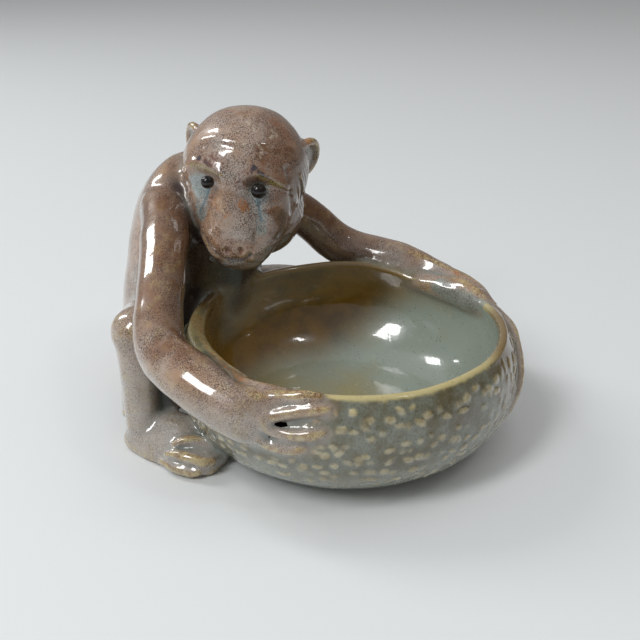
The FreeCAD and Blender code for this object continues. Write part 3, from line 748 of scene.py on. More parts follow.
fill = 1 - crisp
for _ in range(CRISP_BLUR):
    fill = neighbour_mean(fill[:, None])[:, 0]
fill = np.clip(fill, CRISP_FILL, 1.0)
for step in range(JOINT_PASSES):
    if step % 6 == 0:
        ways = outward_ways()
    pull = neighbour_mean(places) - places
    hollow = (pull * ways).sum(axis=1)
    share = np.clip(hollow / FULL_HOLLOW, 0, 1) * fill * JOINT_PACE
    places += pull * share[:, None]
for _ in range(LAST_PASSES):
    places += (neighbour_mean(places) - places) * 0.5
ways = outward_ways()
print("joints smoothed in", JOINT_PASSES, "passes")

# %% [markdown]
# A hand-made surface is never quite true, and a glossy glaze shows it: the window's reflection bends as
# it runs down an arm. A few slow waves, each with its own direction and length, leave those soft marks.
# The thrown bowl gets less of them than the hand-rolled limbs.

# %% Soft finger marks
MARK_WAVES, MARK_HEIGHT, MARK_LENGTHS = 9, 0.055, (10, 26)
BOWL_SHARE_OF_MARKS = 0.4

shaker = np.random.default_rng(11)
marks_lift = np.zeros(len(places))
for _ in range(MARK_WAVES):
    way = shaker.normal(0, 1, 3)
    phase = places @ (way / np.linalg.norm(way)) / shaker.uniform(*MARK_LENGTHS)
    marks_lift += np.sin((phase + shaker.uniform(0, 1)) * 2 * math.pi)
marks_lift *= MARK_HEIGHT * np.where(labels == PARTS.index("bowl"), BOWL_SHARE_OF_MARKS, 1.0)
places += ways * marks_lift[:, None]
ways = outward_ways()
print("deepest mark:", round(float(np.abs(marks_lift).max()), 2), "mm")

# %% [markdown]
# Small forms are modelled on the smooth skin. A stroke is a line of picture places that is dropped on the
# skin, and the skin is lifted or pressed along it. That is how the potter's fingertip and needle worked:
# pressed eye sockets, a step across the forehead where the cap of hair begins, nostrils, a cut mouth.

# %% Lines on the skin
carrier = put("skin", skin)


def skin_surface():
    """The skin as it now is, ready for rays."""
    skin.vertices.foreach_set("co", places.ravel())
    skin.update()
    return BVHTree.FromObject(carrier, bpy.context.evaluated_depsgraph_get())


def near_line(line, reach):
    """The places within reach of a line on the skin, and how far off each is."""
    line = np.array(line)
    if len(line) == 1:
        line = np.vstack([line, line + 0.01])
    inside = (places > line.min(axis=0) - reach) & (places < line.max(axis=0) + reach)
    chosen = np.flatnonzero(inside.all(axis=1))
    best = np.full(len(chosen), float(reach))
    for start, end in zip(line, line[1:]):
        along = end - start
        offset = places[chosen] - start
        share = np.clip(offset @ along / (along @ along), 0, 1)
        best = np.minimum(best, np.linalg.norm(offset - share[:, None] * along, axis=1))
    return chosen[best < reach], best[best < reach]


def press(line, width, lift):
    """Lift the skin along a line, or press it where lift is below zero."""
    chosen, far = near_line(line, width * 2.2)
    places[chosen] += ways[chosen] * (lift * np.exp(-((far / width) ** 2)))[:, None]


# %% Model the face
FACE_STROKES = (
    ("right socket", ((206, 181),), 6.4, -1.5),
    ("left socket", ((258, 190),), 6.4, -1.5),
    ("right eye hole", ((207, 181),), 3.4, -0.8),
    ("left eye hole", ((258.5, 190),), 3.4, -0.8),
    ("right brow", ((188, 165), (197, 164), (207, 167), (220, 174)), 2.6, 1.2),
    ("left brow", ((247, 176), (259, 174), (272, 178), (286, 187)), 2.6, 1.2),
    ("frown", ((229, 168), (232, 178)), 2.4, -0.5),
    ("edge of the cap", ((203, 139), (214, 138), (226, 140), (244, 143), (268, 145), (286, 152)), 1.8, 0.35),
    ("under the cap", ((203, 145), (214, 144), (226, 146), (244, 149), (268, 151), (284, 158)), 1.6, -0.3),
    ("nose bridge", ((226, 186), (225, 198), (224, 210), (226, 224)), 4.2, 1.2),
    ("right cheek fold", ((208, 206), (202, 220), (200, 234)), 2.0, -0.8),
    ("left cheek fold", ((255, 205), (261, 218), (262, 232), (258, 243)), 4.2, -2.2),
    ("left cheek", ((278, 204), (284, 216), (282, 228)), 5.0, 1.2),
    ("right nostril", ((227.5, 250.5),), 1.4, -1.2),
    ("left nostril", ((241, 251),), 1.4, -1.2),
    ("upper lip", ((209, 236), (217, 246), (228, 252), (241, 252), (252, 248)), 2.4, 0.5),
    ("mouth", ((203, 235), (208, 246), (215, 254), (227, 259), (241, 260), (251, 256)), 0.9, -1.2),
    ("chin", ((214, 260), (227, 264), (241, 264), (252, 260)), 1.6, 0.5),
    ("edge of the ruff", ((287, 168), (288, 190), (290, 210)), 1.5, -0.7),
    ("jaw", ((300, 176), (303, 190), (304, 205), (300, 218), (290, 231), (276, 241), (262, 249), (250, 257)),
     0.9, 0.5),
)

surface = skin_surface()
for title, line, width, lift in FACE_STROKES:
    found = seen_on(surface, line)
    print(title, len(found), "of", len(line))
    press(found, width, lift)
ways = outward_ways()

# %% [markdown]
# The potter combed the ruff of the cheeks with a needle, down the side of the jaw. In the head's own
# measure that is a ripple from front to back, and it fades out towards the face and the neck.

# %% Comb the ruff
COMB_PITCH, COMB_DEPTH = 2.3, 0.13


def fade(values, low, high):
    """From 0 at low to 1 at high, with soft ends."""
    t = np.clip((values - low) / (high - low), 0, 1)
    return t * t * (3 - 2 * t)


head_back = np.array(head_turn.to_3x3().transposed())
local = (places - np.array(head_centre)) @ head_back.T
on_the_head = (labels == PARTS.index("head")).astype(float)
ruff = fade(np.abs(local[:, 0]), 13, 18) * fade(local[:, 1], -12, -6) * (1 - fade(local[:, 1], 8, 15))
ruff *= (1 - fade(local[:, 2], 2, 9)) * fade(local[:, 2], -27, -20) * on_the_head
comb = np.sin((local[:, 1] + 0.25 * local[:, 2]) * 2 * math.pi / COMB_PITCH)
places += ways * (ruff * comb * COMB_DEPTH)[:, None]
print("combed places:", int((ruff > 0.5).sum()))

# %% [markdown]
# The rim isn't level. The potter's hands left it rising and falling a little, and where the left hand is
# laid over it, it was pressed down. The lift is a smooth line over the bearing, felt only near the rim.

# %% Unlevel rim
RIM_LIFTS = (
    (-180, 0.0), (-150, 0.3), (-122, -0.3), (-98, 0.2), (-78, -0.2), (-60, 0.1), (-40, -0.6), (-27, -1.6),
    (-12, -2.8), (5, -2.9), (17, -0.8), (26, 0.6), (34, 1.0), (48, 0.7), (62, 0.2), (90, 0.1), (112, 0.4),
    (140, -0.4), (163, 0.3), (180, 0.0),
)

bearing = np.degrees(np.arctan2(places[:, 1], places[:, 0]))
radius = np.hypot(places[:, 0], places[:, 1])
smooth_lifts = between(RIM_LIFTS)
lift = np.interp(bearing, smooth_lifts[:, 0], smooth_lifts[:, 1])
off_rim = np.abs(radius - wall_radius(RIM_HEIGHT) + LIP_RADIUS)
near_rim = (1 - fade(off_rim, 3.5, 8)) * fade(places[:, 2], 30, 45)
near_rim *= 1 - fade(places[:, 2], 50, 56)
places[:, 2] += lift * near_rim
print("rim lifts:", len(RIM_LIFTS))

# %% [markdown]
# Dabs of slip cover the outside of the bowl. They are set out on a shaken grid of bearing and height, so
# that they crowd and thin out as hand-set dabs do, without two runs of the script ever differing. Each
# dab has its own size, slant and height, and it fades towards the foot, where the wall is left smooth.

# %% Dabs on the bowl
DAB_ROWS, DAB_COLUMNS = 9, 84
DAB_LOW, DAB_HIGH = 3.0, 44.0
DAB_LIFT = 0.6
DAB_CROWD = -58
WALL_SAMPLES = 97

shaker = np.random.default_rng(7)
row_pitch = (DAB_HIGH - DAB_LOW) / DAB_ROWS
column_pitch = 360 / DAB_COLUMNS
shape = (DAB_ROWS, DAB_COLUMNS)
dab_height = DAB_LOW + (np.arange(DAB_ROWS)[:, None] + 0.5 + shaker.uniform(-0.42, 0.42, shape)) * row_pitch
dab_bearing = (np.arange(DAB_COLUMNS) + 0.5 + shaker.uniform(-0.42, 0.42, shape)) * column_pitch
dab_bearing = dab_bearing + (np.arange(DAB_ROWS)[:, None] % 2) * column_pitch / 2
crowded = fade(np.cos(np.radians(dab_bearing - DAB_CROWD)), 0.80, 0.97)
dab_length = shaker.uniform(1.7, 3.1, shape) + crowded * 0.6
dab_breadth = shaker.uniform(1.3, 2.1, shape) - crowded * 0.4
dab_slant = shaker.normal(0, 0.35, shape) + crowded * 1.2
chance = shaker.uniform(0, 1, shape)
dab_strength = np.where(chance < 0.9, shaker.uniform(0.35, 1.0, shape), 0.0)
dab_strength = dab_strength * fade(dab_height + shaker.uniform(-4, 4, shape), 6, 16)

bearing = bearing % 360
height = places[:, 2]
heights = np.linspace(0, RIM_HEIGHT, WALL_SAMPLES)
wall_here = np.interp(height, heights, [wall_radius(h) for h in heights])
facing_out = (ways[:, :2] * places[:, :2]).sum(axis=1) / np.maximum(radius, 1e-6)
on_bowl = (labels == PARTS.index("bowl")).astype(float)
outside = on_bowl * fade(facing_out, -0.1, 0.3) * fade(radius - wall_here, -2.5, -1.0)
outside *= 1 - fade(radius - wall_here, 0.5, 1.6)

dab = np.zeros(len(places))
chosen = np.flatnonzero(outside > 0.01)
row_of = np.floor((height[chosen] - DAB_LOW) / row_pitch).astype(int)
column_of = np.floor(bearing[chosen] / column_pitch).astype(int)
around = np.zeros(len(chosen))
ragged = 0.05 * np.sin(places[chosen] @ (1.9, 1.7, 2.4)) + 0.04 * np.sin(places[chosen] @ (-2.1, 2.3, 1.9))
for row_step in (-1, 0, 1):
    for column_step in (-2, -1, 0, 1, 2):
        r = np.clip(row_of + row_step, 0, DAB_ROWS - 1)
        c = (column_of + column_step) % DAB_COLUMNS
        turn = (bearing[chosen] - dab_bearing[r, c] + 180) % 360 - 180
        across, up = np.radians(turn) * radius[chosen], height[chosen] - dab_height[r, c]
        cos, sin = np.cos(dab_slant[r, c]), np.sin(dab_slant[r, c])
        long_way = (across * cos + up * sin) / dab_length[r, c]
        short_way = (up * cos - across * sin) / dab_breadth[r, c]
        one = dab_strength[r, c] * (1 - fade(np.hypot(long_way, short_way) + ragged, 0.25, 1.2))
        around = np.maximum(around, one)
dab[chosen] = around * outside[chosen]
places += ways * (dab * DAB_LIFT)[:, None]
places[:, 2] = np.maximum(places[:, 2], 0)
ways = outward_ways()
print("dabs:", int((dab_strength > 0.3).sum()))

# %% [markdown]
# Glaze thins on ridges and gathers in hollows. The skin tells where: a place that lies below the mean of
# its wider surroundings is in a hollow, one above it is on a ridge. The difference becomes an attribute
# that the glaze colours read. Others tell the bowl from the monkey and its inside from its outside, and
# where the glaze is amber (on the outside by the left hand, and in the bowl on the monkey's side, where the
# amber is partly painted shade and a painted reflection of the monkey), mist (low and thick), painted shade
# (a near black brown where the monkey faces the bowl, on the inner arms, between legs and bowl and under
# the head, where shade falls) or warm (on the arms, the cheek and parts of the rim).

# %% Where the glaze gathers
FINE_SPREAD, WIDE_SPREAD = 14, 90
FULL_TIGHT, FULL_WIDE = 0.35, 1.3
height = places[:, 2]
inside = on_bowl * (1 - fade(radius - wall_here, -3.2, -1.6)) * fade(height, 1.5, 5)
rim_top = on_bowl * fade(ways[:, 2], 0.45, 0.8) * fade(height, 36, 42)
inside *= 1 - rim_top
toward_monkey = fade(np.cos(np.radians(bearing - 120)) + (height - 34) * 0.022, -0.62, -0.02)
toward_hand = fade(np.cos(np.radians(bearing + 62)), 0.88, 0.98)
# In the bowl on the monkey's side the amber is partly glaze and partly painted shade and a painted reflection
# of the monkey. On the outside by the left hand it is glaze.
amber_and_shade = inside * toward_monkey * fade(height, 5, 16) + outside * toward_hand * fade(height, 16, 32) * 0.9


def of_kind(kind):
    """Which places belong to a kind of part, such as both arms."""
    return np.isin(labels, [n for n, name in enumerate(PARTS) if name.endswith(kind)])


low_on_arms = (1 - fade(height, 36, 54)) * (of_kind("arm") + of_kind("hand")) * 0.85
mist = on_bowl * (1 - fade(height, 4, 24)) + low_on_arms
mist += (1 - fade(height, 26, 62)) * (of_kind("leg") + of_kind("foot") + of_kind("torso") * 0.4)
outward = np.column_stack([np.cos(np.radians(bearing)), np.sin(np.radians(bearing)), np.zeros(len(places))])
inward = -(outward * ways).sum(axis=1)
# Painted shade: the chest that faces the bowl, the inside of the arms, the underside of the head, the cheek
# turned from the light and the legs close to the bowl are darkened where shade falls.
shade_inner_arm = of_kind("arm") * fade(inward, -0.2, 0.6) * 0.3
painted_shade = of_kind("torso") * fade(inward, -0.1, 0.4) * fade(height, 6, 20) + shade_inner_arm
shade_under_head = fade(-ways[:, 2], 0.1, 0.8) * 0.35 + fade(local[:, 0] - local[:, 2] * 0.3, 12, 22) * 0.35
painted_shade += of_kind("head") * shade_under_head
painted_shade += of_kind("leg") * np.maximum(fade(inward, 0.1, 0.7) * 0.6, 1 - fade(radius, 74, 80))
warm_cheek = of_kind("head") * fade(local[:, 0] + local[:, 2] * 0.25, 6, 17) * 0.9
warm = of_kind("arm") * fade(height, 50, 68) + warm_cheek
warm += on_bowl * np.maximum(fade(np.cos(np.radians(bearing - 62)), 0.2, 0.7), toward_hand)
fields = np.column_stack([on_bowl, inside, amber_and_shade, mist, painted_shade, warm])
calm = places.copy()
for step in range(WIDE_SPREAD):
    calm += (neighbour_mean(calm) - calm) * 0.8
    if step == FINE_SPREAD:
        tight = ((calm - places) * ways).sum(axis=1)
    if step < FINE_SPREAD:
        fields = neighbour_mean(fields)
wide = ((calm - places) * ways).sum(axis=1)
hollow = np.clip(tight / FULL_TIGHT, 0, 1) * 0.6 + np.clip(wide / FULL_WIDE, 0, 1) * 0.6
hollow *= 1 - fields[:, 1]
broad_ridge = np.clip((-wide - 0.3) / FULL_WIDE, 0, 1) * (0.15 + 0.3 * on_bowl)
ridge = np.clip(-tight / FULL_TIGHT, 0, 1) * 0.6 + broad_ridge
ridge *= 1 - on_bowl * (1 - fade(height, 41, 45))
for title, values in (("hollow", hollow), ("ridge", ridge)):
    print(title, "share:", round(float((values > 0.3).mean()), 2))

# %% [markdown]
# Some colour isn't where the shape would put it: the potter brushed navy and olive over the brows, let
# teal run down from the eyes, and touched orange on the cheeks. Two strokes are painted light: a pale one
# on the nose is a painted highlight, and a faint wide rust one across the lower muzzle is painted shade.
# These are strokes again, kept as a colour with a strength, so the glaze can lay them under its own speckle.

# %% Brushed colours
NAVY, OLIVE, TEAL = (34, 38, 54), (152, 138, 84), (70, 108, 120)
ORANGE, PALE_AND_HIGHLIGHT, SOCKET = (178, 118, 66), (204, 192, 168), (146, 160, 158)
OCHRE, RUST_AND_SHADE, CHIN = (182, 152, 96), (112, 66, 44), (148, 156, 154)
POOL_BLUE = (146, 154, 146)
BRUSHED = (
    (SOCKET, 0.85, 4.6, ((200, 184),)), (SOCKET, 0.85, 4.0, ((259, 192),)), (SOCKET, 0.6, 3.0, ((193, 182),)),
    (SOCKET, 0.6, 3.2, ((202, 196), (200, 214))), (SOCKET, 0.5, 2.8, ((261, 205), (262, 230))),
    (OLIVE, 0.55, 1.3, ((192, 165), (199, 167), (208, 169))), (OLIVE, 0.5, 0.9, ((208, 170), (220, 175))),
    (OLIVE, 0.5, 0.9, ((257, 176), (265, 180), (274, 183))), (OLIVE, 0.6, 1.3, ((272, 182), (281, 186))),
    (NAVY, 0.75, 1.2, ((199, 158),)), (NAVY, 0.6, 0.9, ((205, 161), (209, 165))),
    (NAVY, 0.4, 0.8, ((220, 170),)), (NAVY, 0.85, 1.3, ((254, 168),)),
    (NAVY, 0.65, 0.9, ((259, 172), (263, 175))), (NAVY, 0.5, 0.8, ((267, 177),)),
    (NAVY, 0.4, 1.0, ((251, 172),)), (PALE_AND_HIGHLIGHT, 0.5, 0.7, ((225, 140), (233, 142), (238, 146))),
    (PALE_AND_HIGHLIGHT, 0.45, 0.7, ((247, 122), (253, 127), (255, 131))),
    (PALE_AND_HIGHLIGHT, 0.5, 0.9, ((272, 130), (276, 135), (271, 138))),
    (PALE_AND_HIGHLIGHT, 0.5, 0.6, ((257, 143), (262, 150), (260, 157))), (PALE_AND_HIGHLIGHT, 0.4, 0.6, ((268, 147), (275, 147))),
    (PALE_AND_HIGHLIGHT, 0.45, 0.8, ((218, 150), (225, 151))), (PALE_AND_HIGHLIGHT, 0.35, 0.6, ((243, 144), (252, 145))),
    (PALE_AND_HIGHLIGHT, 0.35, 0.6, ((230, 133), (238, 131))),
    (TEAL, 0.6, 0.5, ((210, 188), (207, 197), (203, 205), (200, 212))),
    (TEAL, 0.5, 0.9, ((209, 187), (207, 192))),
    (TEAL, 0.65, 0.6, ((258, 197), (259, 206), (260, 215), (262, 221))),
    (TEAL, 0.5, 1.0, ((258, 197), (258, 203))), (ORANGE, 0.45, 2.0, ((213, 199), (217, 205), (226, 213))),
    # The pale stroke on the nose, at the end of the next line, is a painted highlight where a window shines
    # on the nose bridge.
    (ORANGE, 0.65, 2.0, ((242, 203), (245, 208))), (PALE_AND_HIGHLIGHT, 0.35, 1.6, ((219, 202), (223, 210))),
    (RUST_AND_SHADE, 0.35, 2.6, ((212, 162), (206, 158))), (ORANGE, 0.4, 1.8, ((189, 186), (191, 195))),
    (ORANGE, 0.35, 2.6, ((270, 208), (279, 205))), (ORANGE, 0.35, 3.0, ((276, 122), (284, 130), (292, 142))),
    (ORANGE, 0.6, 1.8, ((306, 139), (310, 143))), (RUST_AND_SHADE, 0.45, 3.4, ((243, 176), (240, 184))),
    (RUST_AND_SHADE, 0.35, 3.4, ((222, 162), (216, 158))), (RUST_AND_SHADE, 0.35, 4.0, ((262, 118), (284, 134))),
    (RUST_AND_SHADE, 0.3, 4.0, ((268, 160), (284, 172))), (RUST_AND_SHADE, 0.7, 0.9, ((227.5, 250.5),)),
    (RUST_AND_SHADE, 0.7, 0.9, ((241, 251),)),
    (OCHRE, 0.55, 0.4, ((204, 238), (209, 249), (216, 257), (228, 262), (241, 263), (252, 259))),
    (CHIN, 0.5, 1.6, ((213, 259), (228, 263.5), (241, 263.5))),
    (POOL_BLUE, 0.85, 3.0, ((436, 286), (452, 298), (468, 303), (480, 305))),
    (POOL_BLUE, 0.6, 2.4, ((440, 281), (456, 291), (470, 297))), (ORANGE, 0.5, 1.6, ((456, 271), (461, 279))),
    # The faint wide rust stroke across the lower muzzle, first on the next line, is painted shade on its
    # downward face.
    (RUST_AND_SHADE, 0.3, 4.0, ((222, 243), (240, 246))), (ORANGE, 0.5, 1.4, ((168, 474), (182, 477), (196, 477))),
    (ORANGE, 0.35, 3.2, ((196, 318), (206, 340), (224, 362), (244, 382))),
    (OCHRE, 0.35, 2.0, ((238, 386), (252, 391), (266, 394))),
)

surface = skin_surface()
paint = np.zeros((len(places), 4))
for colour, strength, width, line in BRUSHED:
    found = seen_on(surface, line)
    if not found:
        continue
    chosen, far = near_line(found, width * 1.5)
    share = strength * (1 - fade(far, width * 0.5, width * 1.5))
    tone = np.array(glaze_colour(*colour)[:3])
    old = paint[chosen, 3] * (1 - share)
    total = old + share
    blend = paint[chosen, :3] * old[:, None] + tone * share[:, None]
    paint[chosen, :3] = blend / np.maximum(total, 1e-6)[:, None]
    paint[chosen, 3] = total
print("brushed places:", int((paint[:, 3] > 0.1).sum()))

# %% [markdown]
# The skin goes back into its parts. Every face takes the part of the clay it came from, the skin is
# separated along those borders, and each part's open edge is filled, so that every part is a closed
# piece again. The pieces keep the directions of the whole skin, so no seam shows between them.

# %% Part the skin
BORDER_BLUR = 6

parts_here = np.zeros((len(places), len(PARTS)))
parts_here[np.arange(len(places)), labels] = 1
for _ in range(BORDER_BLUR):
    parts_here = neighbour_mean(parts_here)
labels = parts_here.argmax(axis=1)

places *= MM
skin.vertices.foreach_set("co", places.ravel())
bowl_side, inside, amber_and_shade, mist, painted_shade, warm = fields.T
marks_on_skin = {
    "hollow": hollow, "ridge": ridge, "bowl_side": bowl_side, "inside": inside, "amber_and_shade": amber_and_shade, "mist": mist,
    "painted_shade": painted_shade, "warm": warm, "dab": dab,
}
for name, values in marks_on_skin.items():
    skin.attributes.new(name, "FLOAT", "POINT").data.foreach_set("value", np.clip(values, 0, 1))
skin.attributes.new("paint", "FLOAT_COLOR", "POINT").data.foreach_set("color", paint.ravel())
skin.attributes.new("way", "FLOAT_VECTOR", "POINT").data.foreach_set("vector", ways.ravel())
starts = read(skin, skin.polygons, "loop_start", 1).astype(int)
corners = read(skin, skin.loops, "vertex_index", 1).astype(int)
tags = {bpy.data.materials.new("tag_" + name): name for name in PARTS}
for tag in tags:
    skin.materials.append(tag)
skin.polygons.foreach_set("material_index", labels[corners[starts]])
skin.polygons.foreach_set("use_smooth", np.ones(len(skin.polygons), dtype=bool))
skin.update()

for thing in bpy.context.view_layer.objects:
    thing.select_set(thing == carrier)
bpy.context.view_layer.objects.active = carrier
bpy.ops.object.mode_set(mode="EDIT")
bpy.ops.mesh.select_all(action="SELECT")
bpy.ops.mesh.separate(type="MATERIAL")
bpy.ops.object.mode_set(mode="OBJECT")
pieces = {}
for piece in bpy.context.selected_objects:
    name = tags[piece.data.materials[0]]
    pieces[name] = piece
    piece.name = piece.data.name = "clay_" + name
print("pieces:", {name: len(piece.data.polygons) for name, piece in pieces.items()})

# %% [markdown]
# An open piece is closed by a flange that goes a little way into the clay and a cap across it. The cap is
# divided, and its new places are pushed under the skin. The bowl has by far the most faces, and most of
# them lie on smooth clay, so it is thinned out first, except along its open edges.

# %% Close each piece
SEAM_DEPTH, SEAM_MARGIN = 0.8, 0.6
SEAM_SPACING, SEAM_STEP, SEAM_ROUNDS = 3.0, 1.0, 8
BOWL_SHARE = 0.5


def over_skin(spot):
    """The nearest place of the skin, the way out of it there, and how far above it a spot lies."""
    place, normal = surface.find_nearest(spot)[:2]
    return place, normal, (spot - place).dot(normal)


def too_long(edge):
    """A hidden edge is divided when it is long, or when its middle comes near the skin."""
    first, last = (vert.co / MM for vert in edge.verts)
    length = (last - first).length
    near_skin = -SEAM_DEPTH * SEAM_MARGIN
    return length > SEAM_SPACING or length > SEAM_STEP and over_skin((first + last) / 2)[2] > near_skin


def bury(shell, hidden):
    """Divide the hidden faces that close a piece, and push their new places under the skin."""
    fresh = hidden
    for _ in range(SEAM_ROUNDS):
        inner = {edge for face in fresh for edge in face.edges
                 if all(near in hidden for near in edge.link_faces)}
        long_edges = [edge for edge in inner if too_long(edge)]
        if not long_edges:
            break
        split = bmesh.ops.subdivide_edges(shell, edges=long_edges, cuts=1)["geom_inner"]
        fresh = set()
        for vert in (item for item in split if isinstance(item, bmesh.types.BMVert)):
            place, normal, above = over_skin(vert.co / MM)
            if above > -SEAM_DEPTH:
                vert.co = (place - normal * SEAM_DEPTH) * MM
            fresh.update(vert.link_faces)
        hidden = {face for face in hidden if face.is_valid} | fresh


def thin_out(piece, share):
    """Give flat clay fewer faces. The open edge keeps its places, so it still meets its neighbours."""
    mesh = piece.data
    edge_of = read(mesh, mesh.loops, "edge_index", 1).astype(int)
    uses = np.bincount(edge_of, minlength=len(mesh.edges))
    ends = read(mesh, mesh.edges, "vertices", 2).astype(int)
    open_places = set(ends[uses == 1].ravel().tolist())
    free = piece.vertex_groups.new(name="free")
    free.add([index for index in range(len(mesh.vertices)) if index not in open_places], 1.0, "REPLACE")
    fewer = piece.modifiers.new("fewer_faces", "DECIMATE")
    fewer.ratio, fewer.vertex_group = share, free.name
    piece.data = bpy.data.meshes.new_from_object(piece.evaluated_get(bpy.context.evaluated_depsgraph_get()))
    piece.data.name = piece.name
    piece.modifiers.clear()
    piece.vertex_groups.clear()
    print("thinned out:", piece.name, len(piece.data.polygons), "faces")


thin_out(pieces["bowl"], BOWL_SHARE)
for piece in pieces.values():
    shell = bmesh.new()
    shell.from_mesh(piece.data)
    way_layer = shell.verts.layers.float_vector["way"]
    open_edges = [edge for edge in shell.edges if edge.is_boundary]
    sunk = bmesh.ops.extrude_edge_only(shell, edges=open_edges)["geom"]
    for vert in sunk:
        if isinstance(vert, bmesh.types.BMVert):
            vert.co -= vert[way_layer] * SEAM_DEPTH * MM
    open_edges = [edge for edge in shell.edges if edge.is_boundary]
    filled = bmesh.ops.holes_fill(shell, edges=open_edges, sides=0)["faces"]
    filled = bmesh.ops.triangulate(shell, faces=filled, ngon_method="BEAUTY")["faces"]
    bury(shell, set(filled))
    for face in shell.faces:
        face.smooth = True
        face.material_index = 0
    shell.to_mesh(piece.data)
    shell.free()
    mesh = piece.data
    mesh.materials.clear()
    kept_ways = np.empty(len(mesh.vertices) * 3, dtype=np.float32)
    mesh.attributes["way"].data.foreach_get("vector", kept_ways)
    mesh.normals_split_custom_set_from_vertices([tuple(way) for way in kept_ways.reshape(-1, 3)])
    mesh.attributes.remove(mesh.attributes["way"])
for tag in tags:
    bpy.data.materials.remove(tag)
print("closed pieces:", len(pieces))

# %% [markdown]
# The glaze is one recipe for the whole vessel, because on the real one the colours run into each other
# over the seams. Its ground colour wanders between mauve, brown and grey. Ridges break to ochre, hollows
# pool to a cool grey, brushed strokes lie in between, and iron speckle goes over everything. A clear
# coat on top gives the wet shine.

# %% Glaze helpers


class Recipe:
    """A material's node tree, with short ways to add to it."""

    def __init__(self, name):
        self.material = bpy.data.materials.new(name)
        self.material.use_nodes = True
        self.nodes = self.material.node_tree.nodes
        self.links = self.material.node_tree.links
        self.shader = self.nodes["Principled BSDF"]
        self.place = self.nodes.new("ShaderNodeTexCoord").outputs["Object"]

    def wire(self, value, socket):
        if isinstance(value, bpy.types.NodeSocket):
            self.links.new(value, socket)
        else:
            socket.default_value = value

    def noise(self, scale, detail=3.0, rough=0.55, bend=0.0):
        node = self.nodes.new("ShaderNodeTexNoise")
        self.links.new(self.place, node.inputs["Vector"])
        for name, value in (("Scale", scale), ("Detail", detail), ("Roughness", rough), ("Distortion", bend)):
            node.inputs[name].default_value = value
        return node.outputs["Fac"]

    def dots(self, scale, small, large):
        node = self.nodes.new("ShaderNodeTexVoronoi")
        self.links.new(self.place, node.inputs["Vector"])
        node.inputs["Scale"].default_value = scale
        return self.span(node.outputs["Distance"], large, small)

    def span(self, value, low, high, top=1.0):
        node = self.nodes.new("ShaderNodeMapRange")
        node.interpolation_type = "SMOOTHSTEP"
        for name, number in (("From Min", low), ("From Max", high), ("To Max", top)):
            node.inputs[name].default_value = number
        self.wire(value, node.inputs["Value"])
        return node.outputs["Result"]

    def attribute(self, name, output="Fac"):
        node = self.nodes.new("ShaderNodeAttribute")
        node.attribute_name = name
        return node.outputs[output]

    def along(self, axis):
        node = self.nodes.new("ShaderNodeSeparateXYZ")
        self.links.new(self.place, node.inputs[0])
        return node.outputs[axis]

    def math(self, operation, first, second):
        node = self.nodes.new("ShaderNodeMath")
        node.operation = operation
        node.use_clamp = True
        self.wire(first, node.inputs[0])
        self.wire(second, node.inputs[1])
        return node.outputs[0]

    def times(self, first, second):
        return self.math("MULTIPLY", first, second)

    def plus(self, first, second):
        return self.math("ADD", first, second)

    def less(self, first, second):
        return self.math("SUBTRACT", first, second)

    def stir(self, scale, detail, top):
        """Noise, spread from 0 to top."""
        return self.span(self.noise(scale, detail), 0.3, 0.7, top)

    def ramp(self, value, *stops):
        node = self.nodes.new("ShaderNodeValToRGB")
        ends = node.color_ramp.elements
        while len(ends) < len(stops):
            ends.new(0.5)
        for end, (where, colour) in zip(ends, stops):
            end.position = where
            end.color = glaze_colour(*colour)
        self.links.new(value, node.inputs["Fac"])
        return node.outputs["Color"]

    def mix(self, share, under, over):
        node = self.nodes.new("ShaderNodeMix")
        node.data_type = "RGBA"
        self.wire(share, node.inputs["Factor"])
        for tone, socket in ((under, node.inputs[6]), (over, node.inputs[7])):
            self.wire(glaze_colour(*tone) if isinstance(tone, tuple) else tone, socket)
        return node.outputs[2]

    def bump(self, height, strength, distance):
        node = self.nodes.new("ShaderNodeBump")
        node.inputs["Strength"].default_value = strength
        node.inputs["Distance"].default_value = distance
        self.wire(height, node.inputs["Height"])
        return node.outputs["Normal"]


# %% Mix the glaze
SAND, MAUVE, MIST, RUSSET = (168, 134, 104), (172, 148, 130), (178, 168, 158), (118, 77, 40)
# The third colour on the next line is the near black brown of the painted shade.
STONE, SEPIA, SHADE_UMBER = (172, 168, 160), (64, 38, 32), (26, 16, 9)
SEA, MOSS, CREAM, STRAW = (118, 122, 108), (94, 86, 60), (178, 170, 142), (152, 140, 104)
# AMBER and BRONZE in the bowl on the monkey's side are partly glaze and partly painted shade and a painted
# reflection of the monkey.
TAN, POOL, AMBER, BRONZE = (166, 156, 114), (154, 165, 154), (128, 94, 18), (96, 70, 10)
RIDGE_PALE, RIDGE_BROWN = (196, 178, 124), (152, 116, 66)
RIM_PALE, RIM_BROWN = (206, 192, 134), (134, 106, 54)
SLATE, SILT, IRON, BARE = (108, 120, 116), (160, 162, 146), (48, 34, 28), (150, 132, 110)
PEAT = (76, 74, 56)
BARE_EDGE = (0.0011, 0.0005)
COAT_ROUGHNESS, COAT_IOR = 0.04, 1.6
RIPPLE_STRENGTH, RIPPLE_DEPTH = 0.22, 0.0005


def skin_glaze(recipe):
    """Mauve and brown of the monkey, greyer where it is low and thick, with painted shade, a near black
    umber, where it faces the bowl, between its limbs and under its head.
    """
    tone = recipe.ramp(recipe.noise(42, 4, 0.6, 0.6), (0.36, SAND), (0.50, MAUVE), (0.64, MIST))
    russet = recipe.plus(recipe.span(recipe.noise(65, 4, 0.6, 0.3), 0.48, 0.70, 0.6),
                         recipe.times(recipe.attribute("warm"), 0.75))
    tone = recipe.mix(russet, tone, RUSSET)
    tone = recipe.mix(recipe.times(recipe.attribute("mist"), 0.8), tone, STONE)
    # Painted shade: the chest, inner arms, legs by the bowl and the head's underside are darkened towards
    # near black.
    return recipe.mix(recipe.times(recipe.attribute("painted_shade"), 0.95), tone, SHADE_UMBER)


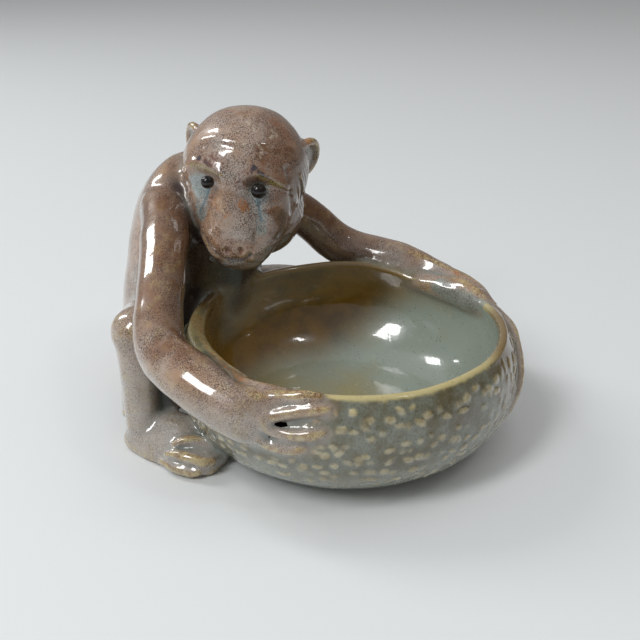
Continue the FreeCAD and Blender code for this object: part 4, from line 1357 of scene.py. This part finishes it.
def wall_glaze(recipe):
    """Grey-green of the bowl's outside, with cream where the dabs stand up."""
    tone = recipe.ramp(recipe.noise(120, 5, 0.65), (0.38, MOSS), (0.58, SEA))
    tone = recipe.mix(recipe.span(recipe.noise(1100, 3), 0.50, 0.66, 0.5), tone, PEAT)
    tone = recipe.mix(recipe.times(recipe.attribute("mist"), 0.7), tone, SILT)
    tone = recipe.mix(recipe.attribute("amber_and_shade"), tone, BRONZE)
    cream = recipe.ramp(recipe.noise(240, 4, 0.6), (0.40, STRAW), (0.60, CREAM))
    edge = recipe.plus(recipe.attribute("dab"), recipe.stir(600, 4, 0.2))
    return recipe.mix(recipe.span(edge, 0.15, 0.95), tone, cream)


def well_glaze(recipe):
    """Clear pool in the bowl, tan to grey-blue from side to side, and bronze on the monkey's side, which is
    partly glaze and partly painted shade and a painted reflection of the monkey.
    """
    drift = recipe.plus(recipe.span(recipe.along("X"), -0.03, 0.05, 0.6), recipe.stir(30, 3, 0.4))
    tone = recipe.ramp(drift, (0.25, TAN), (0.85, POOL))
    bronze = recipe.ramp(recipe.noise(70, 4, 0.6), (0.38, BRONZE), (0.60, AMBER))
    return recipe.mix(recipe.attribute("amber_and_shade"), tone, bronze)


def glaze(name):
    """The whole recipe: ground, breaks on ridges, pools, strokes, freckles, specks and the bare foot."""
    recipe = Recipe(name)
    bowl_side, hollow = recipe.attribute("bowl_side"), recipe.attribute("hollow")
    bowl_tone = recipe.mix(recipe.attribute("inside"), wall_glaze(recipe), well_glaze(recipe))
    tone = recipe.mix(bowl_side, skin_glaze(recipe), bowl_tone)
    breaks = recipe.plus(recipe.attribute("ridge"), recipe.stir(260, 4, 0.3))
    ridge_tone = recipe.ramp(recipe.noise(420, 4, 0.65), (0.40, RIDGE_BROWN), (0.56, RIDGE_PALE))
    rim_tone = recipe.mix(recipe.attribute("warm"), RIM_PALE, RIM_BROWN)
    ridge_tone = recipe.mix(bowl_side, ridge_tone, rim_tone)
    tone = recipe.mix(recipe.span(breaks, 0.28, 0.95, 0.8), tone, ridge_tone)
    tone = recipe.mix(recipe.times(hollow, 0.75), tone, SLATE)
    stroke = recipe.attribute("paint", "Alpha")
    broken = recipe.plus(stroke, recipe.span(recipe.noise(900, 4, 0.7), 0.32, 0.68, 0.55))
    broken = recipe.times(recipe.span(broken, 0.40, 1.10), recipe.span(stroke, 0.0, 0.3))
    tone = recipe.mix(broken, tone, recipe.attribute("paint", "Color"))
    thin = recipe.less(1.0, recipe.times(recipe.attribute("mist"), 0.5))
    thin = recipe.less(thin, recipe.times(hollow, 0.5))
    thin = recipe.less(thin, bowl_side)
    freckles = recipe.times(recipe.span(recipe.noise(2000, 2, 0.6), 0.48, 0.56), thin)
    freckles = recipe.times(freckles, recipe.span(recipe.noise(150, 3), 0.25, 0.60))
    tone = recipe.mix(recipe.times(freckles, 0.82), tone, SEPIA)
    specks = recipe.times(recipe.dots(700, 0.12, 0.26), recipe.span(recipe.noise(260, 3), 0.45, 0.65))
    tone = recipe.mix(recipe.times(specks, 0.6), tone, IRON)
    bare = recipe.span(recipe.along("Z"), *BARE_EDGE)
    tone = recipe.mix(bare, tone, BARE)
    shader = recipe.shader.inputs
    recipe.wire(tone, shader["Base Color"])
    recipe.wire(recipe.plus(recipe.stir(300, 4, 0.10), 0.18), shader["Roughness"])
    # The clear coat is thinner where the painted shade lies, so the room's reflection doesn't lighten it.
    coat = recipe.less(1.0, recipe.times(recipe.attribute("painted_shade"), 0.5))
    recipe.wire(recipe.less(coat, bare), shader["Coat Weight"])
    shader["Coat Roughness"].default_value = COAT_ROUGHNESS
    shader["Coat IOR"].default_value = COAT_IOR
    grain = recipe.plus(recipe.noise(90, 3), recipe.times(recipe.noise(500, 2), 0.15))
    ripple = recipe.bump(grain, RIPPLE_STRENGTH, RIPPLE_DEPTH)
    recipe.wire(ripple, shader["Normal"])
    recipe.wire(ripple, shader["Coat Normal"])
    return recipe.material


brown_glaze = glaze("brown_glaze")
bowl_glaze = glaze("bowl_glaze")
print("glazes:", brown_glaze.name, bowl_glaze.name)

# %% Hang each piece on its part
for name, piece in pieces.items():
    piece.data.materials.append(bowl_glaze if name == "bowl" else brown_glaze)
    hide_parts(name)
    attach(piece, "root")

# %% [markdown]
# The eyes are pellets of black glaze, set in the sockets after the face was modelled. A ball pressed a
# little flat and sunk in its socket does it. They are so dark that only the window in them is seen.

# %% Eyes
EYES = {"right_eye": ((-11.5, -22.4, 6.9), 2.65), "left_eye": ((8.6, -22.8, 6.2), 3.05)}
JET, SOOT = (10, 8, 8), (24, 18, 15)

bead = Recipe("black_glaze")
bead_tone = bead.ramp(bead.noise(500, 3), (0.4, JET), (0.6, SOOT))
bead.wire(bead_tone, bead.shader.inputs["Base Color"])
bead.wire(bead.plus(bead.stir(900, 2, 0.05), 0.04), bead.shader.inputs["Roughness"])
for name, (eye_seat, eye_radius) in EYES.items():
    ball = bmesh.new()
    centre = on_head(*eye_seat)
    shape = Matrix.Diagonal((MM, MM, MM, 1)) @ Matrix.Translation(centre) @ head_turn
    shape = shape @ Matrix.Diagonal((eye_radius, eye_radius * 0.94, eye_radius * 0.97, 1))
    bmesh.ops.create_uvsphere(ball, u_segments=48, v_segments=28, radius=1, matrix=shape)
    for face in ball.faces:
        face.smooth = True
    eye_mesh = bpy.data.meshes.new("pellet_" + name)
    ball.to_mesh(eye_mesh)
    ball.free()
    eye_mesh.materials.append(bead.material)
    eye = put("pellet_" + name, eye_mesh)
    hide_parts(name)
    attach(eye, "root")
print("eyes set")

# %% [markdown]
# The slab under the monkey is wiped clean of glaze, or it would stick to the kiln shelf. It is a plain
# disc with a vent, so its solid stays as it is and only gets its bare, sandy clay.

# %% Bare base
SAND_DARK, SAND_LIGHT, GROG = (128, 108, 88), (166, 148, 124), (92, 74, 60)
PIT_STRENGTH, PIT_DEPTH = 0.5, 0.0003

sandy = Recipe("bare_stoneware")
sand_tone = sandy.ramp(sandy.noise(120, 6, 0.7), (0.35, SAND_DARK), (0.62, SAND_LIGHT))
grog = sandy.dots(700, 0.12, 0.26)
sandy.wire(sandy.mix(sandy.times(grog, 0.6), sand_tone, GROG), sandy.shader.inputs["Base Color"])
sandy.wire(sandy.plus(sandy.stir(500, 4, 0.12), 0.78), sandy.shader.inputs["Roughness"])
sandy.wire(sandy.bump(sandy.noise(900, 5), PIT_STRENGTH, PIT_DEPTH), sandy.shader.inputs["Normal"])
base = frame["nodes"]["torso_base"]
base.data.materials.clear()
base.data.materials.append(sandy.material)
print("base:", base.name)
